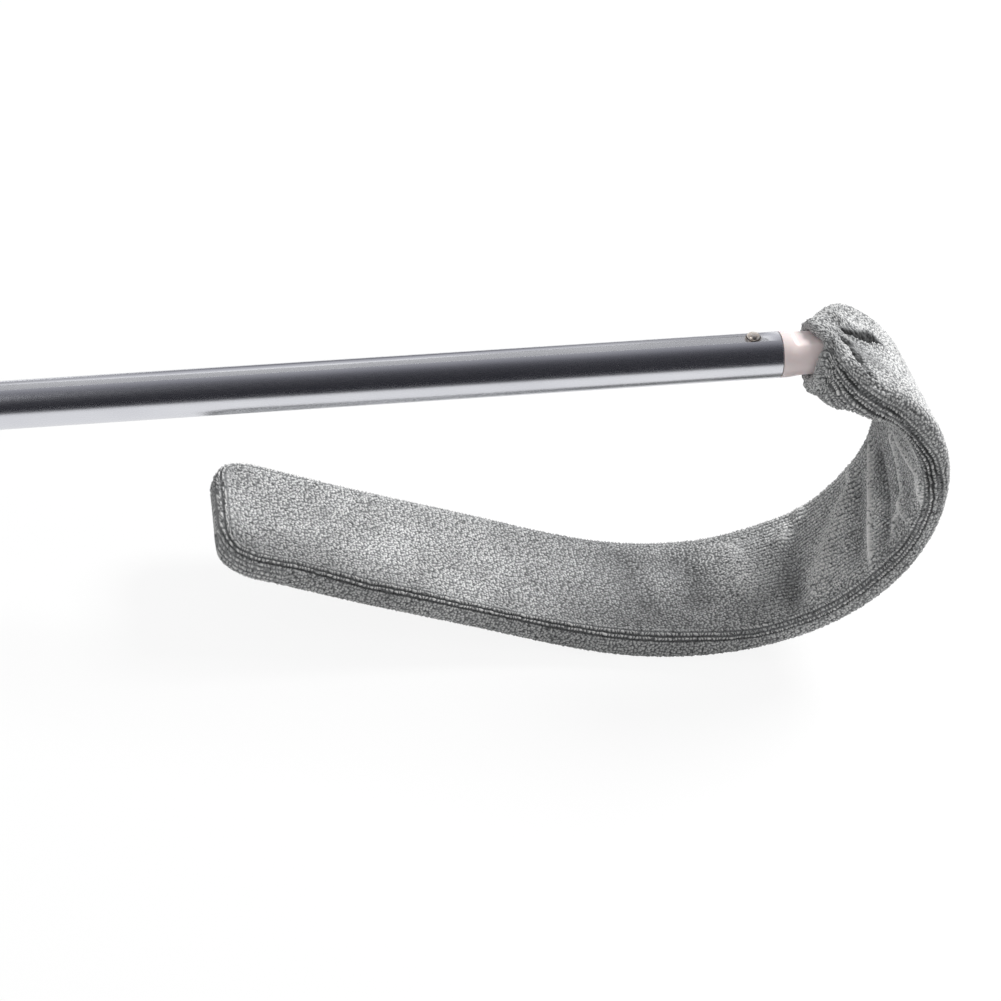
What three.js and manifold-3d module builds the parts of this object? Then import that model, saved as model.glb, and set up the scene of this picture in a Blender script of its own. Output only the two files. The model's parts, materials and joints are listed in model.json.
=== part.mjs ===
// Long-handled duster: a pole of two aluminium tubes, a snap-in ferrule, and a flexible blade
// inside a terry sleeve that is gathered round the ferrule. The head is bent round in a J.
// Millimetres, +Z up. The pieces are placed in the handle's own frame: its origin is the middle
// of the upper tube's mouth, +X runs along the pole towards the head, and +Z is the outer side
// of the bend. The last lines lay the whole duster on the floor.
import * as THREE from 'three';
import { mergeVertices } from 'three/addons/utils/BufferGeometryUtils.js';
import Module from 'manifold-3d';

const wasm = await Module();
wasm.setup();

// Fits shared by every piece
const clearance = 0.3; // between two pieces that touch
const overrun = 2; // how far a cut runs past the face that it opens
const roundSides = 32; // sides of a tube or collar
const smallSides = 16; // sides of a button or hanging hole

// Pole
const tubeDiameter = 22;
const tubeWall = 1;
const tubeLength = 450; // each of the two sections
const collarLength = 9; // the bare ring of each plastic plug, flush with the tubes
const plugLength = 45; // how far a plug reaches into its tube
const plugWall = 2.4;
const tubeRadius = tubeDiameter / 2;
const plugRadius = tubeRadius - tubeWall - clearance;
const plugBoreRadius = plugRadius - plugWall;

// Snap buttons
const buttonInset = 13; // from the tube's mouth to the middle of the button
const buttonDiameter = 6.4;
const buttonProud = 1.8; // how far the dome stands out of the tube
const buttonFlange = 1; // thickness of the flange that stops the button inside the plug
const buttonFlangeLip = 1.2; // how far the flange reaches past the shank
const springThickness = 0.7;
const springWidth = 5;
const springFoldRadius = 1.6; // to the middle of the strip
const springLeafLength = 17;
const domeSteps = 4;
const buttonRadius = buttonDiameter / 2;

// Ferrule beyond its collar
const ferruleTransition = 4; // from the collar to the tongue's flats
const tongueDiameter = 20.6; // a round bar with a flat on each face of the head
const tongueFlatThickness = 17;
const tongueEnd = 22; // from the tube's mouth
const slotDepth = 11; // the blade's root is pushed this far into the tongue
const transitionSteps = 4;

// Blade
const bladeThickness = 2.5;
const bladeWidth = 71;
const bladeNeckWidth = 13;
const bladeCornerRadius = 12;

// How the head is bent: its curvature falls off steadily, and the tip is straight
const bendStart = 18; // from the tube's mouth
const bendLength = 353;
const straightTip = 136;
const headTurn = THREE.MathUtils.degToRad(200.8);
const linkCount = 10; // the free blade is split into this many links, all turned alike
const openTurn = headTurn / linkCount; // each hinge opens until the head is straight
const spareTurn = THREE.MathUtils.degToRad(1);
const headEnd = bendStart + bendLength + straightTip;

// Sleeve
const sleeveThickness = 16; // at the bend
const sleeveTipThickness = 14;
const sleeveWall = 4.2;
const sleeveWidth = bladeWidth + 2 * (sleeveWall + clearance);
const sleeveEdgeRadius = 5.5;
const sleeveTipRadius = 15; // of the tip's corners, seen from above
const sleeveBluntShare = 0.45; // of the thickness that is left at the very tip
const mouthStart = 14; // from the tube's mouth
const mouthWidth = 33;
const mouthThickness = 28;
const gatherLength = 27; // from the mouth to the full width
const pleatCount = 9;
const pleatDepth = 1.5;
const cuffSides = 54;
const cuffSteps = 6;
const elasticInset = 3.5; // from the mouth to the elastic
const elasticWidth = 4;
const elasticThickness = 1.2;

// Hanging cap on the grip's end
const capPlugLength = 30;
const capCollarLength = 4;
const capTaperLength = 8;
const tabLength = 26; // from the collar to the end of the tab
const tabHeight = 18;
const tabThickness = 6;
const hangHoleDiameter = 9;

// Pole's ends and joint, along X
const upperTubeStart = -tubeLength;
const lowerTubeEnd = upperTubeStart - collarLength;
const lowerTubeStart = lowerTubeEnd - tubeLength;

const aluminium = () => finish(0xb9bac0, 0.32, 0.9);
const whitePlastic = () => finish(0xe2dcdb, 0.5, 0);
const greyPlastic = () => finish(0x8d8f94, 0.55, 0);
const bladePlastic = () => finish(0xd8d8d6, 0.5, 0);
const steel = () => finish(0xc9c6c0, 0.25, 1);
const terry = () => finish(0xa2a3a3, 0.95, 0);
const elasticWeb = () => finish(0xe9e7e2, 0.8, 0);

function finish(color, roughness, metalness) {
  return new THREE.MeshStandardMaterial({ color, roughness, metalness });
}

// A closed mesh as a solid that can be cut and joined, and back again.
function solidOf(geometry) {
  const bare = geometry.clone();
  bare.deleteAttribute('normal');
  bare.deleteAttribute('uv');
  const merged = mergeVertices(bare);
  const vertProperties = new Float32Array(merged.attributes.position.array);
  const triVerts = new Uint32Array(merged.index.array);
  return new wasm.Manifold(new wasm.Mesh({ numProp: 3, vertProperties, triVerts }));
}

function geometryOf(solid) {
  const { vertProperties, triVerts } = solid.getMesh();
  const geometry = new THREE.BufferGeometry();
  geometry.setAttribute('position', new THREE.BufferAttribute(vertProperties, 3));
  geometry.setIndex(new THREE.BufferAttribute(triVerts, 1));
  geometry.computeVertexNormals();
  return geometry;
}

// A turned piece along X, from a profile of [radius, x] that runs towards +X.
function turnedAlongX(profile, sides) {
  const points = profile.map(([radius, x]) => new THREE.Vector2(radius, x));
  return new THREE.LatheGeometry(points, sides).rotateZ(-Math.PI / 2);
}

// A turned piece along Z, from a profile of [radius, z] that runs upwards.
function turnedAlongZ(profile, sides) {
  const points = profile.map(([radius, z]) => new THREE.Vector2(radius, z));
  return new THREE.LatheGeometry(points, sides).rotateX(Math.PI / 2);
}

function rodAlongZ(radius, bottom, top, sides) {
  return turnedAlongZ([[0, bottom], [radius, bottom], [radius, top], [0, top]], sides);
}

// A flat outline in X and Z, made a plate with its middle at Y = 0.
function plateAlongY(shape, thickness) {
  const settings = { depth: thickness, bevelEnabled: false, curveSegments: smallSides };
  const plate = new THREE.ExtrudeGeometry(shape, settings);
  return plate.rotateX(Math.PI / 2).translate(0, thickness / 2, 0);
}

// Skins a row of rings, all with as many points, that run counter-clockwise seen from the end.
function skin(rings, faces, inwards) {
  const count = rings[0].length;
  for (let ring = 0; ring + 1 < rings.length; ring++) {
    for (let i = 0; i < count; i++) {
      const next = (i + 1) % count;
      const a = rings[ring][i];
      const b = rings[ring][next];
      const c = rings[ring + 1][next];
      const d = rings[ring + 1][i];
      const quad = inwards ? [a, d, c, a, c, b] : [a, b, c, a, c, d];
      faces.push(...quad);
    }
  }
}

function middleOf(ring) {
  const middle = new THREE.Vector3();
  ring.forEach((point) => middle.add(point));
  return middle.divideScalar(ring.length);
}

function capEnd(ring, faces, towardsStart) {
  const middle = middleOf(ring);
  ring.forEach((point, i) => {
    const next = ring[(i + 1) % ring.length];
    faces.push(...(towardsStart ? [middle, next, point] : [middle, point, next]));
  });
}

function joinRings(outer, inner, faces, towardsStart) {
  outer.forEach((point, i) => {
    const next = (i + 1) % outer.length;
    const [a, b, c, d] = [point, outer[next], inner[next], inner[i]];
    faces.push(...(towardsStart ? [a, c, b, a, d, c] : [a, b, c, a, c, d]));
  });
}

function geometryFrom(faces) {
  const geometry = new THREE.BufferGeometry().setFromPoints(faces);
  return mergeVertices(geometry);
}

function loftedSolid(rings) {
  const faces = [];
  skin(rings, faces, false);
  capEnd(rings[0], faces, true);
  capEnd(rings.at(-1), faces, false);
  return geometryFrom(faces);
}

// A sleeve open at both ends, or closed at the far end like a sock.
function loftedShell(outerRings, innerRings, closedTip) {
  const faces = [];
  skin(outerRings, faces, false);
  skin(innerRings, faces, true);
  joinRings(outerRings[0], innerRings[0], faces, true);
  if (closedTip) {
    capEnd(outerRings.at(-1), faces, false);
    capEnd(innerRings.at(-1), faces, true);
  } else {
    joinRings(outerRings.at(-1), innerRings.at(-1), faces, false);
  }
  return geometryFrom(faces);
}

// Outlines across the head: [sideways, outwards] pairs that start at the +Y edge and have a
// point on the middle plane at both edges, where a hinge's V begins.
function plateOutline(width, thickness) {
  const [w, t] = [width / 2, thickness / 2];
  return [[w, 0], [w, t], [-w, t], [-w, 0], [-w, -t], [w, -t]];
}

const cornerPoints = 3;

function roundedOutline(width, thickness, radius) {
  const r = Math.min(radius, width / 2, thickness / 2);
  const [w, t] = [width / 2 - r, thickness / 2 - r];
  const outline = [[width / 2, 0]];
  [[w, t], [-w, t], [-w, -t], [w, -t]].forEach(([sideways, outwards], quarter) => {
    if (quarter === 2) outline.push([-width / 2, 0]);
    for (let i = 0; i < cornerPoints; i++) {
      const angle = (quarter + i / (cornerPoints - 1)) * Math.PI / 2;
      outline.push([sideways + r * Math.cos(angle), outwards + r * Math.sin(angle)]);
    }
  });
  return outline;
}

// The same outline with evenly turned points, and with pleats where they have a depth.
function turnedOutline(width, thickness, radius, sides, depth = 0) {
  return Array.from({ length: sides }, (_, i) => {
    const angle = 2 * Math.PI * (i + 1 / 2) / sides;
    const [c, s] = [Math.cos(angle), Math.sin(angle)];
    const reach = radius - depth * (1 - Math.cos(pleatCount * angle)) / 2;
    const sideways = Math.sign(c) * (width / 2 - radius) + reach * c;
    return [sideways, Math.sign(s) * (thickness / 2 - radius) + reach * s];
  });
}

// A round bar's outline with a flat on each face of the head.
function flattedOutline(diameter, thickness, sides) {
  return Array.from({ length: sides }, (_, i) => {
    const angle = 2 * Math.PI * (i + 1 / 2) / sides;
    const out = diameter / 2 * Math.sin(angle);
    const flat = THREE.MathUtils.clamp(out, -thickness / 2, thickness / 2);
    return [diameter / 2 * Math.cos(angle), flat];
  });
}

// The head's centre line, by distance u from the tube's mouth. The turn grows as the curvature
// falls off, and the centre is summed in short steps.
const centreSteps = 400;

function turnAt(u) {
  const share = THREE.MathUtils.clamp((u - bendStart) / bendLength, 0, 1);
  return headTurn * (1 - (1 - share) ** 2);
}

function directionAt(u) {
  return new THREE.Vector3(Math.cos(turnAt(u)), 0, -Math.sin(turnAt(u)));
}

function centreAt(u) {
  if (u <= bendStart) return new THREE.Vector3(u, 0, 0);
  const centre = new THREE.Vector3(bendStart, 0, 0);
  const step = (u - bendStart) / centreSteps;
  for (let i = 0; i < centreSteps; i++) {
    centre.addScaledVector(directionAt(bendStart + (i + 1 / 2) * step), step);
  }
  return centre;
}

// Places an outline across the head at u. endCut is 0 inside a link, 1 at a link's start and
// -1 at its end: there the ring stands back from the hinge, more on the outer side, so that
// two neighbours close to a hair's breadth when the hinge opens to its limit.
function ringAt(u, outline, endCut = 0) {
  const centre = centreAt(u);
  const along = directionAt(u);
  const outwards = new THREE.Vector3(-along.z, 0, along.x);
  const slope = Math.tan((openTurn + spareTurn) / 2);
  return outline.map(([sideways, out]) => {
    const setBack = endCut * (clearance / 2 + Math.max(0, out) * slope);
    const point = centre.clone().addScaledVector(outwards, out).addScaledVector(along, setBack);
    return point.setY(sideways);
  });
}

// A ring of a piece that is straight, in the line of the pole
function straightRing(x, outline) {
  return outline.map(([sideways, out]) => new THREE.Vector3(x, sideways, out));
}

// Hinge number 1 is the one nearest to the ferrule. Each stands for the same share of the turn.
function hingeAt(number) {
  const share = (number - 1 / 2) / linkCount;
  return bendStart + bendLength * (1 - Math.sqrt(1 - share));
}

function evenSteps(start, end, steps) {
  return Array.from({ length: steps + 1 }, (_, i) => start + (end - start) * i / steps);
}

// Sleeve's size across the head
function gatherAt(u) {
  return THREE.MathUtils.smoothstep(u, mouthStart, mouthStart + gatherLength);
}

function flatThicknessAt(u) {
  const share = THREE.MathUtils.clamp((u - bendStart) / (headEnd - bendStart), 0, 1);
  return THREE.MathUtils.lerp(sleeveThickness, sleeveTipThickness, share);
}

function tipInsetAt(distance, radius) {
  const left = THREE.MathUtils.clamp(1 - distance / radius, 0, 1);
  return radius * (1 - Math.sqrt(1 - left ** 2));
}

function sleeveSizeAt(u) {
  const width = THREE.MathUtils.lerp(mouthWidth, sleeveWidth, gatherAt(u));
  const thickness = THREE.MathUtils.lerp(mouthThickness, flatThicknessAt(u), gatherAt(u));
  const toTip = headEnd - u;
  const round = sleeveTipThickness / 2;
  const bluntness = THREE.MathUtils.lerp(1, sleeveBluntShare, tipInsetAt(toTip, round) / round);
  return [width - 2 * tipInsetAt(toTip, sleeveTipRadius), thickness * bluntness];
}

function edgeRadiusAt(u) {
  return THREE.MathUtils.lerp(mouthThickness / 2, sleeveEdgeRadius, gatherAt(u));
}

function sleeveOutlineAt(u) {
  const [width, thickness] = sleeveSizeAt(u);
  return roundedOutline(width, thickness, edgeRadiusAt(u));
}

function cavityOutlineAt(u) {
  const [width, thickness] = sleeveSizeAt(u);
  const radius = sleeveEdgeRadius - sleeveWall + clearance;
  return roundedOutline(width - 2 * sleeveWall, thickness - 2 * sleeveWall, radius);
}

function bladeWidthAt(u) {
  const [width] = sleeveSizeAt(u);
  const room = width - 2 * (sleeveWall + clearance);
  const toTip = headEnd - sleeveWall - clearance - u;
  return Math.min(bladeWidth, room) - 2 * tipInsetAt(toTip, bladeCornerRadius);
}

function bladeOutlineAt(u) {
  return plateOutline(bladeWidthAt(u), bladeThickness);
}

// Where rings stand along a link: closer where the head bends, and round the tip's corners.
const linkSteps = 4;
const tipSteps = 5;

function linkStations(number, end, cornerRadius) {
  const start = hingeAt(number);
  if (number < linkCount) return evenSteps(start, hingeAt(number + 1), linkSteps);
  const bendEnd = bendStart + bendLength;
  const corner = evenSteps(0, 1, tipSteps).map((share) =>
    end - cornerRadius * (1 - Math.sin(share * Math.PI / 2)));
  return [...evenSteps(start, bendEnd, linkSteps), ...corner];
}

function endCutOf(i, stations, number) {
  if (i === 0) return 1;
  return i === stations.length - 1 && number < linkCount ? -1 : 0;
}

function placeRings(stations, outlineAt, number) {
  return stations.map((u, i) => ringAt(u, outlineAt(u), endCutOf(i, stations, number)));
}

function bladeSection(number) {
  const stations = linkStations(number, headEnd - sleeveWall - clearance, bladeCornerRadius);
  return loftedSolid(placeRings(stations, bladeOutlineAt, number));
}

function sleeveSection(number) {
  const stations = linkStations(number, headEnd, sleeveTipRadius);
  const last = number === linkCount;
  const inside = last ? linkStations(number, headEnd - sleeveWall, sleeveTipRadius) : stations;
  const cavityAt = (u) => cavityOutlineAt(last ? Math.min(u, headEnd - sleeveTipRadius) : u);
  const outerRings = placeRings(stations, sleeveOutlineAt, number);
  return loftedShell(outerRings, placeRings(inside, cavityAt, number), last);
}

// The gathered end of the sleeve: a fluted ring round the tongue that opens to the full width.
// Its bore leaves room for the elastic round the tongue, and narrows past the tongue's end.
const elasticRoom = 2 * clearance + elasticThickness;

function cuffOutlineAt(u) {
  const [width, thickness] = sleeveSizeAt(u);
  return turnedOutline(width, thickness, edgeRadiusAt(u), cuffSides, pleatDepth * (1 - gatherAt(u)));
}

function cuffBoreAt(u) {
  const [width, thickness] = sleeveSizeAt(u);
  const radius = sleeveEdgeRadius - sleeveWall + clearance;
  const flat = turnedOutline(width - 2 * sleeveWall, thickness - 2 * sleeveWall, radius, cuffSides);
  const share = THREE.MathUtils.smoothstep(u, tongueEnd, hingeAt(1));
  return tongueOutline(elasticRoom, cuffSides).map((point, i) =>
    point.map((value, axis) => THREE.MathUtils.lerp(value, flat[i][axis], share)));
}

function sleeveCuff() {
  const stations = evenSteps(mouthStart, hingeAt(1), cuffSteps);
  const ringOf = (outlineAt) => (u, i) => ringAt(u, outlineAt(u), i === cuffSteps ? -1 : 0);
  return loftedShell(stations.map(ringOf(cuffOutlineAt)), stations.map(ringOf(cuffBoreAt)), false);
}

function tongueOutline(gap, sides) {
  return flattedOutline(tongueDiameter + 2 * gap, tongueFlatThickness + 2 * gap, sides);
}

function cuffElastic() {
  const start = mouthStart + elasticInset;
  const rings = (gap) =>
    [start, start + elasticWidth].map((x) => straightRing(x, tongueOutline(gap, roundSides)));
  return loftedShell(rings(clearance + elasticThickness), rings(clearance), false);
}

// Tubes, each with a hole where a snap button comes through near its head end or its grip end
function tube(start, end, buttonX) {
  const bore = tubeRadius - tubeWall;
  const wall = turnedAlongX(
    [[bore, start], [tubeRadius, start], [tubeRadius, end], [bore, end], [bore, start]], roundSides);
  if (buttonX.length === 0) return wall;
  return drilled(solidOf(wall), buttonX.map(buttonHole));
}

function buttonHole(x) {
  const hole = rodAlongZ(buttonRadius + clearance, 0, tubeRadius + overrun, smallSides);
  return solidOf(hole.translate(x, 0, 0));
}

// Snap button: a dome on a shank, with a flange that stops it inside the plug
const flangeRadius = buttonRadius + buttonFlangeLip;
const flangeTop = Math.sqrt(plugBoreRadius ** 2 - flangeRadius ** 2) - clearance;
const flangeBottom = flangeTop - buttonFlange;

function snapButton(x) {
  const top = tubeRadius + buttonProud;
  const dome = evenSteps(0, Math.PI / 2, domeSteps).map((angle) =>
    [buttonRadius * Math.cos(angle), top - buttonProud * (1 - Math.sin(angle))]);
  dome[dome.length - 1][0] = 0;
  const profile = [[0, flangeBottom], [flangeRadius, flangeBottom], [flangeRadius, flangeTop],
    [buttonRadius, flangeTop], ...dome];
  return turnedAlongZ(profile, smallSides).translate(x, 0, 0);
}

// The bent strip under a button: two leaves and a fold, in the bore of the plug. It points away
// from the plug's collar.
function buttonSpring(x, towards) {
  const top = flangeBottom - clearance;
  const halfWidth = springWidth / 2;
  const bottom = clearance - Math.sqrt(plugBoreRadius ** 2 - halfWidth ** 2);
  const reach = (top - bottom) / 2;
  const outer = springFoldRadius + springThickness / 2;
  const inner = springFoldRadius - springThickness / 2;
  const foldAngle = Math.atan2(outer, springLeafLength);
  const spread = Math.asin(reach / Math.hypot(outer, springLeafLength)) - foldAngle;
  const [c, s] = [Math.cos(spread), Math.sin(spread)];
  const leafX = springLeafLength * c;
  const leafZ = springLeafLength * s;
  const shape = new THREE.Shape();
  shape.moveTo(leafX - outer * s, leafZ + outer * c);
  shape.lineTo(-outer * s, outer * c);
  shape.absarc(0, 0, outer, Math.PI / 2 + spread, 3 * Math.PI / 2 - spread, false);
  shape.lineTo(leafX - outer * s, -leafZ - outer * c);
  shape.lineTo(leafX - inner * s, -leafZ - inner * c);
  shape.lineTo(-inner * s, -inner * c);
  shape.absarc(0, 0, inner, 3 * Math.PI / 2 - spread, Math.PI / 2 + spread, true);
  shape.lineTo(leafX - inner * s, leafZ + inner * c);
  const strip = plateAlongY(shape, springWidth);
  strip.translate(-leafX, 0, 0);
  if (towards > 0) strip.rotateZ(Math.PI);
  return strip.translate(x, 0, (top + bottom) / 2);
}

// The plug between the two tubes: fixed in the lower one, and held by its button in the upper
const jointButtonX = upperTubeStart + buttonInset;

function jointPlug() {
  const start = lowerTubeEnd - plugLength;
  const end = upperTubeStart + plugLength;
  const body = turnedAlongX([
    [plugBoreRadius, start], [plugRadius, start],
    [plugRadius, lowerTubeEnd + clearance], [tubeRadius, lowerTubeEnd + clearance],
    [tubeRadius, upperTubeStart - clearance], [plugRadius, upperTubeStart - clearance],
    [plugRadius, end], [plugBoreRadius, end], [plugBoreRadius, start]], roundSides);
  return drilled(solidOf(body), [buttonHole(jointButtonX)]);
}

// The ferrule: a hollow plug, a collar as wide as the tube, and a flat tongue with a slot
const headButtonX = -buttonInset;

function ferruleRing(x, share) {
  const mix = (collar, tongue) => THREE.MathUtils.lerp(collar, tongue, share);
  const [diameter, thickness] = [mix(tubeDiameter, tongueDiameter), mix(tubeDiameter, tongueFlatThickness)];
  return straightRing(x, flattedOutline(diameter, thickness, roundSides));
}

function ferruleTongue() {
  const rings = evenSteps(0, 1, transitionSteps).map((share) =>
    ferruleRing(collarLength + ferruleTransition * share, THREE.MathUtils.smoothstep(share, 0, 1)));
  rings.push(ferruleRing(tongueEnd, 1));
  return loftedSolid(rings);
}

function plugAndCollar() {
  return turnedAlongX([
    [plugBoreRadius, -plugLength], [plugRadius, -plugLength], [plugRadius, clearance],
    [tubeRadius, clearance], [tubeRadius, collarLength], [0, collarLength],
    [0, clearance], [plugBoreRadius, clearance], [plugBoreRadius, -plugLength]], roundSides);
}

function drilled(solid, holes) {
  return geometryOf(holes.reduce((left, hole) => left.subtract(hole), solid));
}

function headFerrule() {
  const slot = new THREE.BoxGeometry(
    slotDepth + overrun, bladeNeckWidth + 2 * clearance, bladeThickness + 2 * clearance);
  slot.translate(tongueEnd - slotDepth + (slotDepth + overrun) / 2, 0, 0);
  const whole = solidOf(plugAndCollar()).add(solidOf(ferruleTongue()));
  return drilled(whole, [solidOf(slot), buttonHole(headButtonX)]);
}

// The blade's root: a neck in the slot that flares out to meet the first link
function bladeRoot() {
  const start = tongueEnd - slotDepth + clearance;
  const neck = plateOutline(bladeNeckWidth, bladeThickness);
  return loftedSolid([straightRing(start, neck), straightRing(tongueEnd + clearance, neck),
    ringAt(hingeAt(1), bladeOutlineAt(hingeAt(1)), -1)]);
}

// The hanging cap: a plug, a collar, a short taper and a flat tab with a hole
const capFace = lowerTubeStart - capCollarLength;
const tabEnd = capFace - tabLength;
const hangHoleX = tabEnd + tabHeight / 2;

function hangingTab() {
  const r = tabHeight / 2;
  const shape = new THREE.Shape();
  shape.moveTo(capFace, r);
  shape.lineTo(hangHoleX, r);
  shape.absarc(hangHoleX, 0, r, Math.PI / 2, 3 * Math.PI / 2, false);
  shape.lineTo(capFace, -r);
  return plateAlongY(shape, tabThickness);
}

function hangCap() {
  const collarEnd = lowerTubeStart - clearance;
  const body = turnedAlongX([
    [0, capFace - capTaperLength], [tabThickness / 2, capFace - capTaperLength],
    [tubeRadius, capFace], [tubeRadius, collarEnd], [plugRadius, collarEnd],
    [plugRadius, lowerTubeStart + capPlugLength], [0, lowerTubeStart + capPlugLength]], roundSides);
  return geometryOf(solidOf(body).add(solidOf(hangingTab())).subtract(hangHoleCut()));
}

function hangHoleCut() {
  const reach = tubeRadius + overrun;
  const rod = rodAlongZ(hangHoleDiameter / 2, -reach, reach, smallSides).rotateX(Math.PI / 2);
  return solidOf(rod.translate(hangHoleX, 0, 0));
}

// The assembly, in the handle's frame
const handle = new THREE.Group();

function place(name, geometry, material) {
  const mesh = new THREE.Mesh(geometry, material);
  mesh.name = name;
  handle.add(mesh);
  return mesh;
}

place('hang_cap', hangCap(), greyPlastic());
place('lower_tube', tube(lowerTubeStart, lowerTubeEnd, []), aluminium());
place('joint_plug', jointPlug(), whitePlastic());
place('joint_button', snapButton(jointButtonX), steel());
place('joint_button_spring', buttonSpring(jointButtonX, 1), steel());
place('upper_tube', tube(upperTubeStart, 0, [jointButtonX, headButtonX]), aluminium());
place('head_ferrule', headFerrule(), whitePlastic());
place('head_button', snapButton(headButtonX), steel());
place('head_button_spring', buttonSpring(headButtonX, -1), steel());
place('blade_root', bladeRoot(), bladePlastic());
place('sleeve_cuff', sleeveCuff(), terry());
place('cuff_elastic', cuffElastic(), elasticWeb());
for (let number = 1; number <= linkCount; number++) {
  place(`blade_section_${number}`, bladeSection(number), bladePlastic());
  place(`sleeve_section_${number}`, sleeveSection(number), terry());
}

// Laid on the floor, the duster stands on the bend and on the hanging cap: the handle is tilted
// until both are equally low, then the whole is moved so that its box stands on the origin.
const tiltSteps = 40;

function lowestUnder(names, tilt) {
  handle.rotation.y = -tilt;
  handle.updateMatrixWorld(true);
  const box = new THREE.Box3();
  names.forEach((name) => box.expandByObject(handle.getObjectByName(name), true));
  return box.min.z;
}

function layDown() {
  const sleeves = Array.from({ length: linkCount }, (_, i) => `sleeve_section_${i + 1}`);
  let [low, high] = [0, Math.PI / 4];
  for (let i = 0; i < tiltSteps; i++) {
    const tilt = (low + high) / 2;
    if (lowestUnder(['hang_cap'], tilt) > lowestUnder(sleeves, tilt)) low = tilt;
    else high = tilt;
  }
}

const duster = new THREE.Group();
duster.add(handle);
layDown();
const box = new THREE.Box3().setFromObject(duster, true);
duster.position.set(-(box.min.x + box.max.x) / 2, 0, -box.min.z);
duster.updateMatrixWorld(true);

export default duster;
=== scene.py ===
# %% [markdown]
# # A long-handled duster, rebuilt round its imported model
#
# The duster is a pole of two aluminium tubes, a white plastic ferrule with a snap button, and a
# flat flexible head in a sleeve of terry microfibre. The head is bent round in a J. The packed
# model gives every piece its place and its joint. This lesson gives each piece that shows its
# real shape and finish.

# %% Load the imported model
import json
import math

import bmesh
import bpy
import numpy as np
from mathutils import Matrix, Vector


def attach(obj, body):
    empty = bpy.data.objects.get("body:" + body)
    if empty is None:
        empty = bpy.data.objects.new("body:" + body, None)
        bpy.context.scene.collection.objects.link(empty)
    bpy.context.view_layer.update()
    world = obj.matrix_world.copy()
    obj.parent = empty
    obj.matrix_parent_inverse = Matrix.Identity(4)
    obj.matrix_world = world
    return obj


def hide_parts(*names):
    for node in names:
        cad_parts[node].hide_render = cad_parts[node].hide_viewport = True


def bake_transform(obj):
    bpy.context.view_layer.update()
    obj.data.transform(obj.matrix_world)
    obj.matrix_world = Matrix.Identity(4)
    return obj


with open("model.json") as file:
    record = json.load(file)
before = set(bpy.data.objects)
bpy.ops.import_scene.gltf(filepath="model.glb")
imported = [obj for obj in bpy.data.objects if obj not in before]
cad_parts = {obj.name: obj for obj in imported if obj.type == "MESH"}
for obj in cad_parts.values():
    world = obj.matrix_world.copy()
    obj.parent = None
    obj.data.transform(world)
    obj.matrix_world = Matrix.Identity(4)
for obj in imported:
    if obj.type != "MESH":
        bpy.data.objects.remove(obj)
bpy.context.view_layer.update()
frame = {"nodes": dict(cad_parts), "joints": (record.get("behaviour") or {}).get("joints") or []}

# %% [markdown]
# ## Sizes and the handle's own frame
#
# The whole model is laid on the floor, so the pole is tilted. It is easier to think along the
# pole: X runs towards the head, Z points to the outer side of the bend, and the tube's mouth is
# the origin. The snap button slides along -Z, which gives the tilt, and the first hinge gives the
# origin. All sizes are millimetres until they are placed. An empty could carry this frame, but
# each finished mesh has to sit at the origin with its place in its points, so a function places
# the points instead.

# %% Sizes, repeated from the part's source
MM = 0.001
tube_radius = 11.0
tube_wall = 1.0
tube_length = 450.0
collar_length = 9.0
plug_radius = 9.7
button_inset = 13.0
button_radius = 3.2
button_proud = 1.8
tongue_end = 22.0
tongue_radius = 10.3
tongue_flat = 8.5
bend_start = 18.0
bend_length = 353.0
straight_tip = 136.0
head_turn = math.radians(200.8)
link_count = 10
head_end = bend_start + bend_length + straight_tip
sleeve_half_width = 40.0
sleeve_half_thickness = 8.0
tip_half_thickness = 7.0
sleeve_wall = 4.2
mouth_start = 14.0
gather_length = 27.0
print("the head is", head_end, "mm long along its middle")

# %% Where the handle stands
line_points = 4001
joints = {joint["name"]: joint for joint in frame["joints"]}


def turn_at(u):
    """How far the head has turned at the distance u from the tube's mouth."""
    share = np.clip((np.asarray(u, float) - bend_start) / bend_length, 0, 1)
    return head_turn * (1 - (1 - share) ** 2)


line_u = np.linspace(bend_start, head_end, line_points)
line_turn = turn_at((line_u[1:] + line_u[:-1]) / 2)
line_x = bend_start + np.concatenate([[0], np.cumsum(np.cos(line_turn) * np.diff(line_u))])
line_z = np.concatenate([[0], np.cumsum(-np.sin(line_turn) * np.diff(line_u))])


def centre_at(u):
    """The head's centre line, straight inside the ferrule."""
    u = np.asarray(u, float)
    return np.where(u < bend_start, u, np.interp(u, line_u, line_x)), np.interp(u, line_u, line_z)


def hinge_at(number):
    """The distance along the head of a hinge, each in the middle of an equal share of the turn."""
    return bend_start + bend_length * (1 - math.sqrt(1 - (number - 0.5) / link_count))


handle_up = -np.array(joints["head_button_press"]["axis"])
handle_along = np.array([handle_up[2], 0, -handle_up[0]])
handle_side = np.array([0.0, 1.0, 0.0])
handle_axes = np.array([handle_along, handle_side, handle_up])
hinge_x, hinge_z = centre_at(hinge_at(1))
first_hinge = np.array([float(hinge_x), 0, float(hinge_z)])
handle_origin = np.array(joints["head_bend_1"]["pos_m"]) - first_hinge @ handle_axes * MM
handle_tilt = math.degrees(math.asin(handle_along[2]))


def to_row(points):
    """Points of the handle's frame in millimetres, placed in the model's frame in metres."""
    return handle_origin + np.asarray(points, float) @ handle_axes * MM


def in_scene(name, data):
    """A new object of the scene, at the origin."""
    thing = bpy.data.objects.new(name, data)
    bpy.context.scene.collection.objects.link(thing)
    return thing


print("handle origin", handle_origin.round(4), "tilt", round(handle_tilt, 2))

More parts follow.
